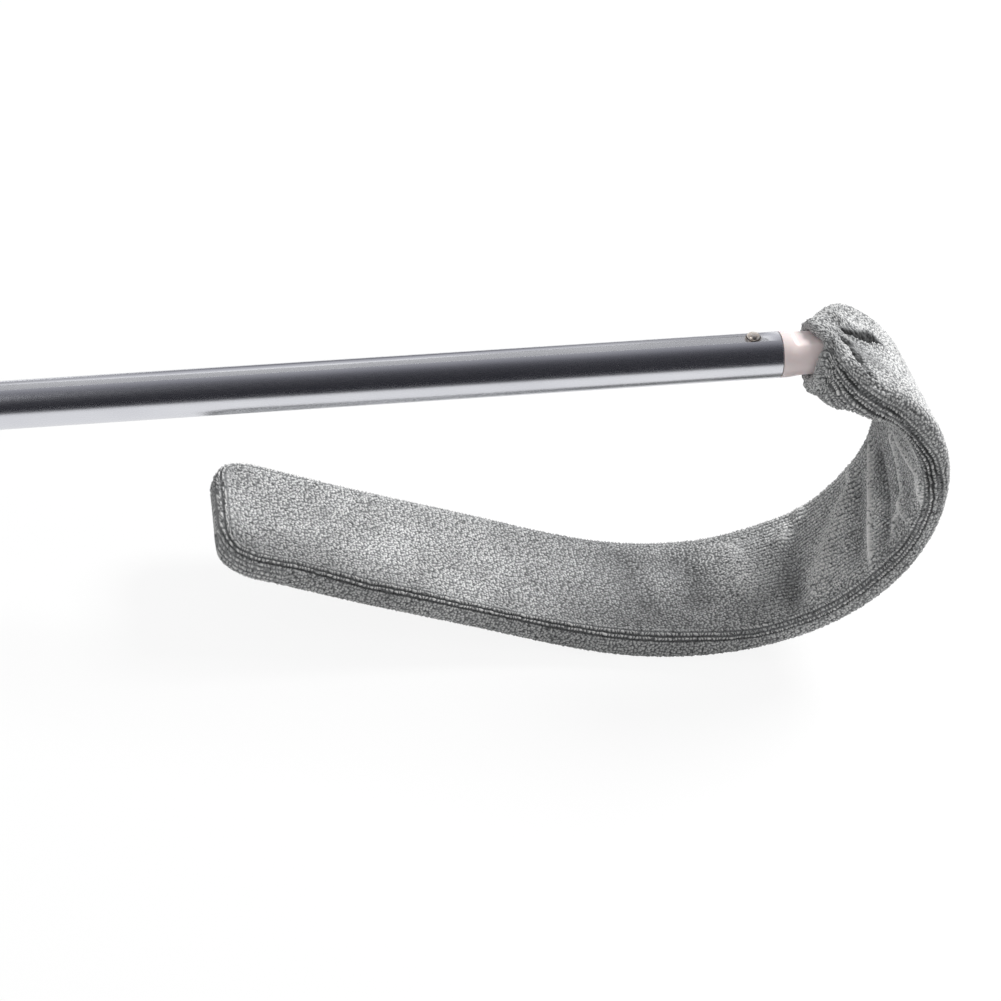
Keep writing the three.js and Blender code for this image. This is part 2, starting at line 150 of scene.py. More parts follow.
# %% [markdown]
# ## Camera
#
# The photograph looks down on the duster from its right-hand side. The angles and the distance
# were found by fitting the outline of the tube and the sleeve, and are given in the handle's
# frame. Placed by eye, the camera would be a degree or two out, and no outline would match. The
# lens is a long one, so the tube hardly tapers.

# %% Camera at the photograph's angle
camera_turn = math.radians(10.091)
camera_drop = math.radians(36.526)
camera_roll = math.radians(1.872)
camera_distance = 1131.6
focal_pixels = 2400.0
image_pixels = 1001.0
sensor_width = 36.0
# The middle of the tube's mouth stands at this pixel of the photograph.
mouth_pixel_across = 778.0
mouth_pixel_down = 354.5
camera_right = (mouth_pixel_across - image_pixels / 2) * camera_distance / focal_pixels
camera_above = (image_pixels / 2 - mouth_pixel_down) * camera_distance / focal_pixels

level_right = np.array([math.cos(camera_turn), -math.sin(camera_turn), 0])
level_ahead = np.array([math.sin(camera_turn), math.cos(camera_turn), 0])
upright = np.array([0, 0, 1.0])
ahead = math.cos(camera_drop) * level_ahead - math.sin(camera_drop) * upright
above = math.sin(camera_drop) * level_ahead + math.cos(camera_drop) * upright
right = math.cos(camera_roll) * level_right + math.sin(camera_roll) * above
above = -math.sin(camera_roll) * level_right + math.cos(camera_roll) * above
camera_place = -camera_right * right - camera_above * above - camera_distance * ahead

camera_data = bpy.data.cameras.new("photo_camera")
camera_data.sensor_width = sensor_width
camera_data.lens = focal_pixels * sensor_width / image_pixels
camera = in_scene("photo_camera", camera_data)
camera_axes = np.array([right, above, -ahead]) @ handle_axes
camera_turned = Matrix(camera_axes.T.tolist()).to_4x4()
camera.matrix_world = Matrix.Translation(to_row(camera_place)) @ camera_turned
bpy.context.scene.camera = camera
print("lens", round(camera_data.lens, 1), "at", to_row(camera_place).round(3))

# %% [markdown]
# ## Metals and plastics
#
# The tubes are drawn aluminium with a satin anodised skin: the drawing leaves very fine lines
# along the tube, and the skin dulls the metal a little. The button and its strip are sprung
# steel. The ferrule and the plug between the tubes are moulded polypropylene, which is slightly
# cloudy and has a faint texture from the mould. Pictures could carry these textures, but noise
# over the object's own coordinates has no seams and no resolution, and its grain can be worked
# out from millimetres. One function adds a node and links it, and all materials are written so.

# %% Colours and nodes


def linear(hex_colour):
    """An sRGB colour like "a0a0a0" as linear red, green, blue and alpha."""
    shares = [int(hex_colour[i:i + 2], 16) / 255 for i in (0, 2, 4)]
    return [s / 12.92 if s <= 0.04045 else ((s + 0.055) / 1.055) ** 2.4 for s in shares] + [1.0]


def add_node(tree, kind, inputs=(), stops=(), **settings):
    """Adds a node with its settings. Inputs come by name, or in a row. Each is a value, an output
    socket, or a node, whose first output that is in use is linked. Stops are for a colour ramp."""
    node = tree.nodes.new(kind)
    for name, value in settings.items():
        setattr(node, name, value)
    for key, value in inputs.items() if isinstance(inputs, dict) else enumerate(inputs):
        if isinstance(value, bpy.types.Node):
            value = next(output for output in value.outputs if output.enabled)
        if isinstance(value, bpy.types.NodeSocket):
            tree.links.new(value, node.inputs[key])
        else:
            node.inputs[key].default_value = value
    while stops and len(node.color_ramp.elements) < len(stops):
        node.color_ramp.elements.new(0.5)
    for i, (place, colour) in enumerate(stops):
        node.color_ramp.elements[i].position = place
        node.color_ramp.elements[i].color = linear(colour)
    return node


def new_material(name):
    material = bpy.data.materials.new(name)
    material.use_nodes = True
    material.node_tree.nodes.clear()
    return material, material.node_tree


per_metre = 1000.0


def grain(tree, size, detail=2.0, stretch=(1, 1, 1)):
    """A noise over the object's own coordinates, with its grain size in millimetres."""
    place = add_node(tree, "ShaderNodeTexCoord").outputs["Object"]
    scale = [per_metre / size / s for s in stretch]
    scaled = add_node(tree, "ShaderNodeVectorMath", [place, scale], operation="MULTIPLY")
    return add_node(tree, "ShaderNodeTexNoise", {"Vector": scaled, "Scale": 1.0, "Detail": detail})


print("mid grey is", round(linear("808080")[0], 3), "linear")

# %% Metals
# Real drawing lines and rub marks are far finer, and are drawn as coarse as they need to show.
drawn_line_size = 0.35
drawn_line_depth = 0.002
drawn_line_stretch = (60, 1, 1)
metal_cloud_size = 26.0
metal_cloud_stretch = (3, 1, 1)
rub_mark_size = 0.8
rub_mark_depth = 0.006


def satin_aluminium():
    """Lines along the tube break the highlight up; the skin keeps it soft."""
    material, tree = new_material("anodised_aluminium")
    lines = grain(tree, drawn_line_size, stretch=drawn_line_stretch)
    cloud = grain(tree, metal_cloud_size, stretch=metal_cloud_stretch)
    colour = add_node(tree, "ShaderNodeValToRGB", [cloud], [(0.3, "dcdde3"), (0.7, "e8e9ee")])
    rough = add_node(tree, "ShaderNodeMapRange", {"Value": lines, "To Min": 0.2, "To Max": 0.32})
    bump = add_node(tree, "ShaderNodeBump", {"Height": lines, "Distance": drawn_line_depth * MM})
    metal = add_node(tree, "ShaderNodeBsdfPrincipled", {
        "Base Color": colour, "Metallic": 1.0, "Roughness": rough, "Normal": bump})
    add_node(tree, "ShaderNodeOutputMaterial", [metal])
    return material


def sprung_steel():
    """Polished by rubbing, with a faint warm tint in the hollows."""
    material, tree = new_material("sprung_steel")
    marks = grain(tree, rub_mark_size, detail=3.0)
    colour = add_node(tree, "ShaderNodeValToRGB", [marks], [(0.35, "cbb8a6"), (0.6, "f0ece6")])
    rough = add_node(tree, "ShaderNodeMapRange", {"Value": marks, "To Min": 0.22, "To Max": 0.4})
    bump = add_node(tree, "ShaderNodeBump", {"Height": marks, "Distance": rub_mark_depth * MM})
    metal = add_node(tree, "ShaderNodeBsdfPrincipled", {
        "Base Color": colour, "Metallic": 1.0, "Roughness": rough, "Normal": bump})
    add_node(tree, "ShaderNodeOutputMaterial", [metal])
    return material


aluminium = satin_aluminium()
steel = sprung_steel()
print("metals", aluminium.name, steel.name)

# %% Plastics
# The mould's texture, too, is finer on the real pieces, and is drawn coarser so that it shows.
mould_texture_size = 0.25
mould_texture_depth = 0.008
mould_cloud_size = 14.0
haze_depth = 2.0
polypropylene_ior = 1.49


def moulded_plastic(name, dark, light, smoothest, roughest, cloudiness):
    """Moulded plastic: a mould's fine texture, slow colour clouds and a little cloudiness."""
    material, tree = new_material(name)
    texture = grain(tree, mould_texture_size)
    cloud = grain(tree, mould_cloud_size, detail=3.0)
    colour = add_node(tree, "ShaderNodeValToRGB", [cloud], [(0.3, dark), (0.7, light)])
    rough = add_node(tree, "ShaderNodeMapRange", {
        "Value": cloud, "To Min": smoothest, "To Max": roughest})
    bump = add_node(tree, "ShaderNodeBump", {
        "Height": texture, "Distance": mould_texture_depth * MM})
    plastic = add_node(tree, "ShaderNodeBsdfPrincipled", {
        "Base Color": colour, "Roughness": rough, "IOR": polypropylene_ior,
        "Subsurface Weight": cloudiness, "Subsurface Scale": haze_depth * MM, "Normal": bump})
    add_node(tree, "ShaderNodeOutputMaterial", [plastic])
    return material


white_plastic = moulded_plastic("moulded_polypropylene_white", "cdc0c0", "d5c9c8", 0.3, 0.38, 0.15)
grey_plastic = moulded_plastic("moulded_polypropylene_grey", "86888d", "8f9196", 0.4, 0.5, 0.0)
blade_plastic = moulded_plastic("blade_polypropylene", "d2d2d0", "dcdcda", 0.45, 0.55, 0.1)
print("plastics", white_plastic.name, grey_plastic.name, blade_plastic.name)

# %% [markdown]
# ## Turned pieces
#
# Tubes, plugs and buttons are turned: a profile is swung round a line. A cylinder with a Bevel
# modifier would do for a plain rod, but one profile also gives the bore, the steps and each
# corner's own rounding, and a sharp corner catches no light. A row of rings, all with as many
# points, becomes a closed skin. Holes are cut by a Boolean modifier, which is then settled.

# %% Turned and skinned meshes
corner_steps = 5
weld_distance = 1e-7
sharp_angle = math.radians(38)
clearance = 0.3
hole_sides = 48


def rounded(corners):
    """A profile of (x, radius, rounding) corners as a line of points with rounded corners."""
    line = []
    for i, (x, r, rounding) in enumerate(corners):
        here = np.array([x, r])
        if rounding == 0:
            line.append(here)
            continue
        before = np.array(corners[i - 1][:2]) - here
        after = np.array(corners[(i + 1) % len(corners)][:2]) - here
        start = here + before / np.linalg.norm(before) * rounding
        end = here + after / np.linalg.norm(after) * rounding
        for share in np.linspace(0, 1, corner_steps + 1):
            line.append((1 - share) ** 2 * start + 2 * share * (1 - share) * here + share ** 2 * end)
    return np.array(line)


def rod_profile(start, end, radius):
    """The profile of a plain rod, from its middle out to its side and back."""
    return np.array([[start, 0], [start, radius], [end, radius], [end, 0]], float)


def ring_faces(rings, sides, closed):
    """Quads between rings of points. Closed also joins the last ring to the first."""
    index = np.arange(rings * sides).reshape(rings, sides)
    after = np.roll(index, -1, axis=0) if closed else index[1:]
    index = index if closed else index[:-1]
    quads = np.stack([index, np.roll(index, -1, axis=1), np.roll(after, -1, axis=1), after], axis=-1)
    return quads.reshape(-1, 4).tolist()


def clean_mesh(name, points, faces):
    """A mesh from points of the handle's frame, welded where they meet, with faces outwards."""
    mesh = bpy.data.meshes.new(name)
    mesh.from_pydata(to_row(points), [], faces)
    work = bmesh.new()
    work.from_mesh(mesh)
    bmesh.ops.remove_doubles(work, verts=work.verts, dist=weld_distance)
    bmesh.ops.dissolve_degenerate(work, edges=work.edges, dist=weld_distance)
    bmesh.ops.recalc_face_normals(work, faces=work.faces)
    work.to_mesh(mesh)
    work.free()
    return mesh


def new_piece(name, points, faces, material, body, slot, replaced):
    """A piece from points of the handle's frame, which rides on a body and stands for a node."""
    mesh = clean_mesh(name, points, faces)
    mesh.shade_smooth()
    mesh.set_sharp_from_angle(angle=sharp_angle)
    mesh.materials.append(material)
    piece = in_scene(name, mesh)
    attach(piece, body)
    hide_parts(replaced)
    return piece


def turned(profile, closed, sides):
    """Points and faces of a profile swung round X. A radius of 0 makes a pole."""
    angle = np.arange(sides) / sides * math.tau
    x = np.repeat(profile[:, :1], sides, axis=1)
    y = profile[:, 1:] * np.cos(angle)
    z = profile[:, 1:] * np.sin(angle)
    return np.stack([x, y, z], axis=-1).reshape(-1, 3), ring_faces(len(profile), sides, closed)


def upright_turned(profile, sides, x):
    """The same as turned, but about the line that stands on the pole at x."""
    points, faces = turned(profile, False, sides)
    return np.stack([x + points[:, 1], points[:, 2], points[:, 0]], axis=-1), faces


def settle(piece):
    """Turns a piece with modifiers into the plain mesh that they make."""
    bpy.context.view_layer.update()
    seen = piece.evaluated_get(bpy.context.evaluated_depsgraph_get())
    mesh = bpy.data.meshes.new_from_object(seen)
    mesh.name = piece.data.name + "_settled"
    piece.modifiers.clear()
    piece.data = mesh


def combine(piece, operation, points, faces):
    """Cuts a piece by another mesh or joins that to it, and leaves no modifier behind."""
    other = in_scene("helper", clean_mesh("helper", points, faces))
    change = piece.modifiers.new("change", "BOOLEAN")
    change.operation = operation
    change.object = other
    settle(piece)
    bpy.data.objects.remove(other)


def cut_button_hole(piece, x):
    rod = rod_profile(0, 2 * tube_radius, button_radius + clearance)
    combine(piece, "DIFFERENCE", *upright_turned(rod, hole_sides, x))


print("a button's hole is", 2 * (button_radius + clearance), "mm wide")

# %% [markdown]
# ## The pole
#
# Two tubes of the same length are joined by a plug that shows as a white ring between them. Each
# tube's end is cut square and its edge is broken. A snap button comes through a round hole near
# the end of the upper tube, and the next one through its grip end. A tube could be a cylinder
# with a Solidify modifier. Turned from a closed profile, it gets its wall, its bore and its
# broken edges at once.

# %% Tubes
lower_tube_end = -tube_length - collar_length
lower_tube_start = lower_tube_end - tube_length
joint_button_x = -tube_length + button_inset
head_button_x = -button_inset
edge_break = 0.25
tube_sides = 128


def tube_piece(node, start, end, holes):
    bore = tube_radius - tube_wall
    corners = [(start, bore, edge_break), (end, bore, edge_break),
               (end, tube_radius, edge_break), (start, tube_radius, edge_break)]
    points, faces = turned(rounded(corners), True, tube_sides)
    piece = new_piece("satin_" + node, points, faces, aluminium, "handle", "anodised_aluminium", node)
    for x in holes:
        cut_button_hole(piece, x)


tube_piece("lower_tube", lower_tube_start, lower_tube_end, [])
tube_piece("upper_tube", -tube_length, 0.0, [joint_button_x, head_button_x])
print("the pole starts at", lower_tube_start, "mm from the upper tube's mouth")

# %% Plug between the tubes
plug_wall = 2.4
plug_bore = plug_radius - plug_wall
plug_length = 45.0
plug_start = lower_tube_end - plug_length
plug_end = -tube_length + plug_length
collar_start = lower_tube_end + clearance
collar_end = -tube_length - clearance
bore_round = 0.4
plug_round = 0.8
collar_round = 0.5
plug_corners = [
    (plug_start, plug_bore, bore_round), (plug_end, plug_bore, bore_round),
    (plug_end, plug_radius, plug_round), (collar_end, plug_radius, 0),
    (collar_end, tube_radius, collar_round), (collar_start, tube_radius, collar_round),
    (collar_start, plug_radius, 0), (plug_start, plug_radius, plug_round)]
joint_plug = new_piece("moulded_joint_plug", *turned(rounded(plug_corners), True, tube_sides),
                       white_plastic, "handle", "white_plastic", "joint_plug")
cut_button_hole(joint_plug, joint_button_x)
print("plug faces", len(joint_plug.data.polygons))

# %% Snap buttons
flange_reach = 1.2
flange_thickness = 1.0
flange_round = 0.2
flange_radius = button_radius + flange_reach
flange_top = math.sqrt(plug_bore ** 2 - flange_radius ** 2) - clearance
flange_foot = flange_top - flange_thickness
dome_steps = 14


def button_piece(name, x, body):
    """A domed pin with a flange that stops it inside the plug. Its node is named as its body."""
    dome = [(tube_radius + button_proud * math.sin(a), button_radius * math.cos(a), 0)
            for a in np.linspace(0, math.pi / 2, dome_steps)]
    corners = [(flange_foot, 0, 0), (flange_foot, flange_radius, flange_round),
               (flange_top, flange_radius, flange_round), (flange_top, button_radius, 0)] + dome
    points, faces = upright_turned(rounded(corners), hole_sides, x)
    new_piece(name, points, faces, steel, body, "spring_steel", body)


button_piece("domed_joint_button", joint_button_x, "joint_button")
button_piece("domed_head_button", head_button_x, "head_button")
print("each button stands", button_proud, "mm proud of the tube")

# %% [markdown]
# ## The hanging cap
#
# Outside the photograph the pole ends in a cap, as poles of this kind do. It is a plug with a
# collar and a short taper, and a tab with a hole. The tab is rounded round both of its faces, as
# moulded plastic is. It could be an extruded outline with a Bevel modifier. Made of rings across
# its thickness, it is rounded before a Boolean joins it to the cap, and nothing has to follow.

# %% Hanging cap
cap_plug_length = 30.0
cap_collar_length = 4.0
cap_taper_length = 8.0
tab_length = 26.0
cap_plug_end = lower_tube_start + cap_plug_length
cap_collar_start = lower_tube_start - clearance
cap_face = lower_tube_start - cap_collar_length
cap_top = cap_face - cap_taper_length
tab_end = cap_face - tab_length
tab_half_height = 9.0
tab_half_thickness = 3.0
tab_round = 1.0
tab_arc_steps = 20
tab_levels = 9
hole_x = tab_end + tab_half_height
hole_radius = 4.5
cap_round = 1.5
cap_top_round = 0.5
cap_corners = [
    (cap_top, 0, 0), (cap_top, tab_half_thickness, cap_top_round), (cap_face, tube_radius, cap_round),
    (cap_collar_start, tube_radius, bore_round), (cap_collar_start, plug_radius, 0),
    (cap_plug_end, plug_radius, plug_round), (cap_plug_end, 0, 0)]


def tab_outline(inset):
    """The tab's outline in X and Z: straight to the cap, and a half circle round the hole."""
    reach = tab_half_height - inset
    arc = [(hole_x + reach * math.cos(a), reach * math.sin(a))
           for a in np.linspace(math.pi / 2, 3 * math.pi / 2, tab_arc_steps)]
    return [(cap_face, reach)] + arc + [(cap_face, -reach)]


def tab_ring(a):
    """A ring across the tab's thickness, drawn in a little towards both faces."""
    inset = tab_round * (1 - math.cos(a))
    level = tab_half_thickness - tab_round * (1 - math.sin(abs(a)))
    return [(x, math.copysign(level, a), z) for x, z in tab_outline(inset)]


tab_rings = np.array([tab_ring(a) for a in np.linspace(-math.pi / 2, math.pi / 2, tab_levels)])
tab_sides = tab_rings.shape[1]
tab_index = np.arange(tab_levels * tab_sides).reshape(tab_levels, tab_sides)
tab_faces = ring_faces(tab_levels, tab_sides, False) + [tab_index[0].tolist(), tab_index[-1].tolist()]
cap = new_piece("moulded_hang_cap", *turned(rounded(cap_corners), False, tube_sides),
                grey_plastic, "handle", "grey_plastic", "hang_cap")
combine(cap, "UNION", tab_rings.reshape(-1, 3), tab_faces)
hole_rod = rod_profile(-2 * tube_radius, 2 * tube_radius, hole_radius)
hole, hole_faces = turned(hole_rod, False, hole_sides)
hole_points = np.stack([hole_x + hole[:, 1], hole[:, 0], hole[:, 2]], axis=-1)
combine(cap, "DIFFERENCE", hole_points, hole_faces)
print("cap from", round(tab_end), "mm")

# %% [markdown]
# ## The ferrule
#
# The ferrule's plug is inside the tube. Outside it is as wide as the tube for the length of its
# collar, then it draws in a little. A hollow cutter has taken a flat off each face, so the flat
# ends towards the collar in a short concave ramp, whose edge is a curve over the round bar. The
# blade's root is pushed into a slot in its end, hidden by the sleeve. A Boolean could take the
# flats off, but it would leave their long curved edges sharp. Rings along the bar follow a rule
# for the flat's height, which eases the edge too.

# %% Soft rises and mixes


def smooth(value, start, end):
    """A share that rises softly from 0 at start to 1 at end."""
    share = np.clip((np.asarray(value, float) - start) / (end - start), 0, 1)
    return share * share * (3 - 2 * share)


def mixed(a, b, share):
    return a + (b - a) * share


early = 0.25
print("a soft rise has reached", smooth(early, 0, 1), "at", early)

# %% Ferrule's shape
ramp_start = 5.2
ramp_radius = 3.2
bar_draw_start = 3.0
bar_draw_end = 11.0
bar_sides = 160
flat_edge = 0.35
end_edge = 0.6
end_edge_rings = 5
collar_front = 2.0
collar_edge = 0.3
# Start, end and step of the rings along the bar: close together over the ramp.
bar_runs = [(2.4, 5.1, 0.4), (ramp_start, 9.0, 0.12), (9.0, 21.6, 0.7)]


def flat_height(x):
    """Half the thickness of the bar at x: past its side before the ramp, and level after it."""
    left = np.clip(ramp_start + ramp_radius - x, 0, ramp_radius)
    ramp_height = tongue_flat + ramp_radius - np.sqrt(ramp_radius ** 2 - left ** 2)
    return np.where(x < ramp_start, 2 * tube_radius, ramp_height)


def bar_ring(x):
    """A ring of the bar. Where a flat cuts it, the edge is eased."""
    angle = np.arange(bar_sides) / bar_sides * math.tau
    radius = mixed(tube_radius, tongue_radius, smooth(x, bar_draw_start, bar_draw_end))
    level = flat_height(x) - flat_edge
    z = radius * np.sin(angle)
    high = np.abs(z)
    eased = level + flat_edge * (1 - np.exp(-np.clip(high - level, 0, None) / flat_edge))
    z = np.sign(z) * np.where(high > level, eased, high)
    return np.stack([np.full(bar_sides, x), radius * np.cos(angle), z], axis=-1)


def end_ring(inset):
    """A ring of the rounded edge of the bar's end, drawn in by the inset."""
    ring = bar_ring(tongue_end)
    ring[:, 1:] *= 1 - inset / tongue_radius
    ring[:, 0] = tongue_end - end_edge + math.sqrt(max(end_edge ** 2 - inset ** 2, 0))
    return ring


print("the flat is level from", ramp_start + ramp_radius, "mm")

# %% Ferrule
plug_profile = [
    (clearance, 0, 0), (clearance, plug_bore, collar_round), (-plug_length, plug_bore, bore_round),
    (-plug_length, plug_radius, plug_round), (clearance, plug_radius, 0),
    (clearance, tube_radius, collar_edge), (collar_front, tube_radius, 0)]
plug_points, _ = turned(rounded(plug_profile), False, bar_sides)
bar = [bar_ring(x) for run in bar_runs for x in np.arange(*run)]
bar += [end_ring(inset) for inset in np.linspace(0, end_edge, end_edge_rings)[1:]]
bar += [np.array([[tongue_end - end_edge, 0, 0]]).repeat(bar_sides, axis=0)]
ferrule_points = np.concatenate([plug_points, *bar])
ferrule_faces = ring_faces(len(ferrule_points) // bar_sides, bar_sides, False)
ferrule = new_piece("moulded_ferrule", ferrule_points, ferrule_faces, white_plastic, "handle",
                    "white_plastic", "head_ferrule")

neck_half_width = 6.5
blade_half_thickness = 1.25
slot_depth = 11.0
slot_overrun = 2.0
slot_half_width = neck_half_width + clearance
slot_half_height = blade_half_thickness + clearance
slot_box = [(x, y, z) for x in (tongue_end - slot_depth, tongue_end + slot_overrun)
            for y in (-slot_half_width, slot_half_width) for z in (-slot_half_height, slot_half_height)]
slot_faces = [(0, 1, 3, 2), (4, 6, 7, 5), (0, 4, 5, 1), (2, 3, 7, 6), (0, 2, 6, 4), (1, 5, 7, 3)]
combine(ferrule, "DIFFERENCE", slot_box, slot_faces)
cut_button_hole(ferrule, head_button_x)
print("ferrule faces", len(ferrule.data.polygons))

# %% [markdown]
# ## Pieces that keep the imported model's mesh
#
# The blade and the button springs are hidden in the sleeve and the tubes. They could be made
# again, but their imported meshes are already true, so they keep them and only get their finish.

# %% Finishes of the carried-over nodes
for name, node in frame["nodes"].items():
    finish = blade_plastic if name.startswith("blade_") else steel
    if name.startswith("blade_") or name.endswith("_spring"):
        node.data.materials.clear()
        node.data.materials.append(finish)
        print(name, "keeps its mesh, in", finish.name)

# %% [markdown]
# ## The terry sleeve: its rule
#
# The sleeve is a long flat bag of terry microfibre, pulled over the blade and gathered round the
# ferrule. Its shape follows one rule: a rounded oblong that is swept along the bent centre line,
# from a fluted mouth to rounded corners at the tip. A point of the cloth is named by u, the
# distance along the head, and v, the way round it in millimetres. v is 0 along the middle of the
# near edge, positive on the inner face of the bend and negative on the outer face. A cloth
# simulation could fold such a bag, but its folds would fall where they like. A rule puts them
# where the photograph has them, and gives the same bag each time.

# %% Sleeve's rule
edge_radius = 5.5
tip_corner = 19.0
mouth_half_width = 16.5
mouth_half_thickness = 14.0
least_radius = 1e-6


def sleeve_size(u):
    """Half width, half thickness and corner radius of the sleeve at u."""
    gather = smooth(u, mouth_start, mouth_start + gather_length)
    share = np.clip((u - bend_start) / (head_end - bend_start), 0, 1)
    flat = mixed(sleeve_half_thickness, tip_half_thickness, share)
    width = mixed(mouth_half_width, sleeve_half_width, gather)
    thickness = mixed(mouth_half_thickness, flat, gather)
    left = np.clip(1 - (head_end - u) / tip_corner, 0, 1)
    width = width - tip_corner * (1 - np.sqrt(1 - left ** 2))
    radius = mixed(mouth_half_thickness, edge_radius, gather)
    return width, thickness, np.minimum(radius, np.minimum(width, thickness))


def way_round(w, t, r):
    """The whole way round an oblong with rounded corners."""
    return 4 * (w - r) + 4 * (t - r) + 2 * math.pi * r


def across(v, w, t, r):
    """Points of a rounded oblong: v is the way round from the middle of the near edge, and w, t
    and r are its half width, half thickness and corner radius."""
    a = w - r
    b = t - r
    arc = math.pi / 2 * r
    far = np.abs(v)
    first = np.clip((far - b) / np.maximum(r, least_radius), 0, math.pi / 2)
    second = np.clip((far - b - arc - 2 * a) / np.maximum(r, least_radius), 0, math.pi / 2)
    face = np.clip(far - b - arc, 0, 2 * a)
    back = np.clip(far - b - 2 * arc - 2 * a, 0, b)
    side = -a - r * np.cos(first) + face + r * np.sin(second)
    out = np.minimum(far, b) + r * np.sin(first) - r * (1 - np.cos(second)) - back
    return side, -np.sign(v) * out


def on_head(u, side, out):
    """The place of a point that is so far sideways and outwards of the centre line at u."""
    x, z = centre_at(u)
    turn = turn_at(u)
    return np.stack([x + out * np.sin(turn), side, z + out * np.cos(turn)], axis=-1)


print("way round the sleeve", way_round(*sleeve_size(bend_start + bend_length)).round(1), "mm")

# %% [markdown]
# ## The sleeve's rings
#
# The rings stand a little over half a millimetre apart, so that each loop of the pile covers a
# few of them. The strips that cross a hinge are cut from this one skin later, so their stations
# are kept: each cut is half way between two hinges. The rim of the mouth is drawn back towards
# the head on either side of the near edge. At the tip the rings close up to a line. A coarse bag
# with a Subdivision Surface modifier would be as fine, but no ring would stand at the cuts.

# %% Sleeve's rings
loop_step = 0.52
ring_sides = 384
tip_round = 5.0
tip_rings = 13
shut_shares = np.array([0.66, 0.33, 0.0])
first_cut = 23.0
last_cut_reach = 30.0
lip_length = 2.6
rim_inset = 0.4
rim_spread = math.radians(34)
rim_middle = math.radians(56)
rim_reach = 4.2
rim_low_reach = 1.8
turn_share = np.arange(ring_sides) / ring_sides - 0.5
rim_angle = -math.tau * turn_share


def rim_drawn(reach, middle):
    return reach * np.exp(-((rim_angle - middle) / rim_spread) ** 2)


rim_u = mouth_start + rim_inset + rim_drawn(rim_reach, rim_middle)
rim_u += rim_drawn(rim_low_reach, -rim_middle)

cuts = [first_cut]
cuts += [(hinge_at(n) + hinge_at(n + 1)) / 2 for n in range(1, link_count)]
cuts += [hinge_at(link_count) + last_cut_reach]
stations = [mouth_start + lip_length] + cuts + [head_end - tip_round]
ring_u = [stations[0]]
for start, end in zip(stations, stations[1:]):
    steps = math.ceil((end - start) / loop_step)
    ring_u += list(start + (end - start) * np.arange(1, steps + 1) / steps)
ring_u = np.array(ring_u)
width, thickness, radius = sleeve_size(ring_u)

tip_angle = np.linspace(0, math.pi / 2, tip_rings + 1)[1:]
tip_u = head_end - tip_round + tip_round * np.sin(tip_angle)
tip_width, tip_thickness, tip_radius = sleeve_size(tip_u)
tip_thickness = tip_thickness - tip_round * (1 - np.cos(tip_angle))
shut_rings = len(shut_shares)
all_u = np.concatenate([ring_u, tip_u, np.full(shut_rings, head_end)])
all_w = np.concatenate([width, tip_width, np.full(shut_rings, tip_width[-1])])
all_t = np.concatenate([thickness, tip_thickness, tip_thickness[-1] * shut_shares])
all_r = np.minimum(np.concatenate([radius, tip_radius, tip_radius[-1:].repeat(shut_rings)]), all_t)
perimeter = way_round(all_w, all_t, all_r)

V = turn_share[None, :] * perimeter[:, None]
push = (rim_u - mouth_start) * (1 - smooth(all_u[:, None], mouth_start + lip_length, first_cut))
U = all_u[:, None] + push
side, out = across(V, all_w[:, None], all_t[:, None], all_r[:, None])
base = on_head(U, side, out)
print("rings", len(all_u), "points", U.size)

# %% [markdown]
# ## Folds and creases
#
# The gathered cloth falls in folds at the mouth: a deep slit with a crisp lip, a second valley
# beside it, and grooves that fan out to the near edge. There they run on as the rows of loops
# beside the bag's seam. On the inner side of the bend the cloth is squeezed, and stands up in
# soft creases across the head. They could be sculpted by hand. Here each fold is a path over the
# cloth, in u and v, so that it can be moved by its numbers.

# %% Tools for folds
ridge_ends = 0.2


def within(value, start, full, fading, end):
    """A share that is 1 from full to fading, and 0 before start and after end."""
    return smooth(value, start, full) * (1 - smooth(value, fading, end))


def along_path(path):
    """Each point's signed distance from a path, positive to the left of its run, and how far
    along the path it lies, as a share."""
    path = np.array(path, float)
    nearest = np.full(U.shape, np.inf)
    signed = np.zeros(U.shape)
    share = np.zeros(U.shape)
    lengths = np.hypot(*np.diff(path, axis=0).T)
    run = np.concatenate([[0], np.cumsum(lengths)])
    for i, (start, end) in enumerate(zip(path, path[1:])):
        step = (end - start) / lengths[i]
        du = U - start[0]
        dv = V - start[1]
        along = np.clip(du * step[0] + dv * step[1], 0, lengths[i])
        off = np.hypot(du - along * step[0], dv - along * step[1])
        left = np.sign(step[0] * dv - step[1] * du)
        closer = off < nearest
        nearest = np.where(closer, off, nearest)
        signed = np.where(closer, off * left, signed)
        share = np.where(closer, (run[i] + along) / run[-1], share)
    return signed, share


def fade_ends(share, ends):
    return smooth(share, 0, ends) * smooth(1 - share, 0, ends)


def ridge(path, height, half_width, ends=ridge_ends):
    """A rounded ridge along a path, or a groove if its height is negative."""
    signed, share = along_path(path)
    return height * np.exp(-(signed / half_width) ** 2) * fade_ends(share, ends)


def mound(u, v, reach_u, reach_v):
    """A soft mound over the cloth, 1 at its top."""
    return np.exp(-((U - u) / reach_u) ** 2 - ((V - v) / reach_v) ** 2)


def ripple(height, length_u, length_v, phase=0.0):
    """Even waves over the cloth, with so many millimetres of u and of v to a radian."""
    return height * np.sin(U / length_u + V / length_v + phase)


def moved(path, du, dv):
    return [(u + du, v + dv) for u, v in path]


def from_tip(lengths):
    """Places along the head that stand so far before its end."""
    return [head_end - length for length in lengths]


print("the cloth runs from", U.min().round(1), "to", U.max().round(1), "mm")

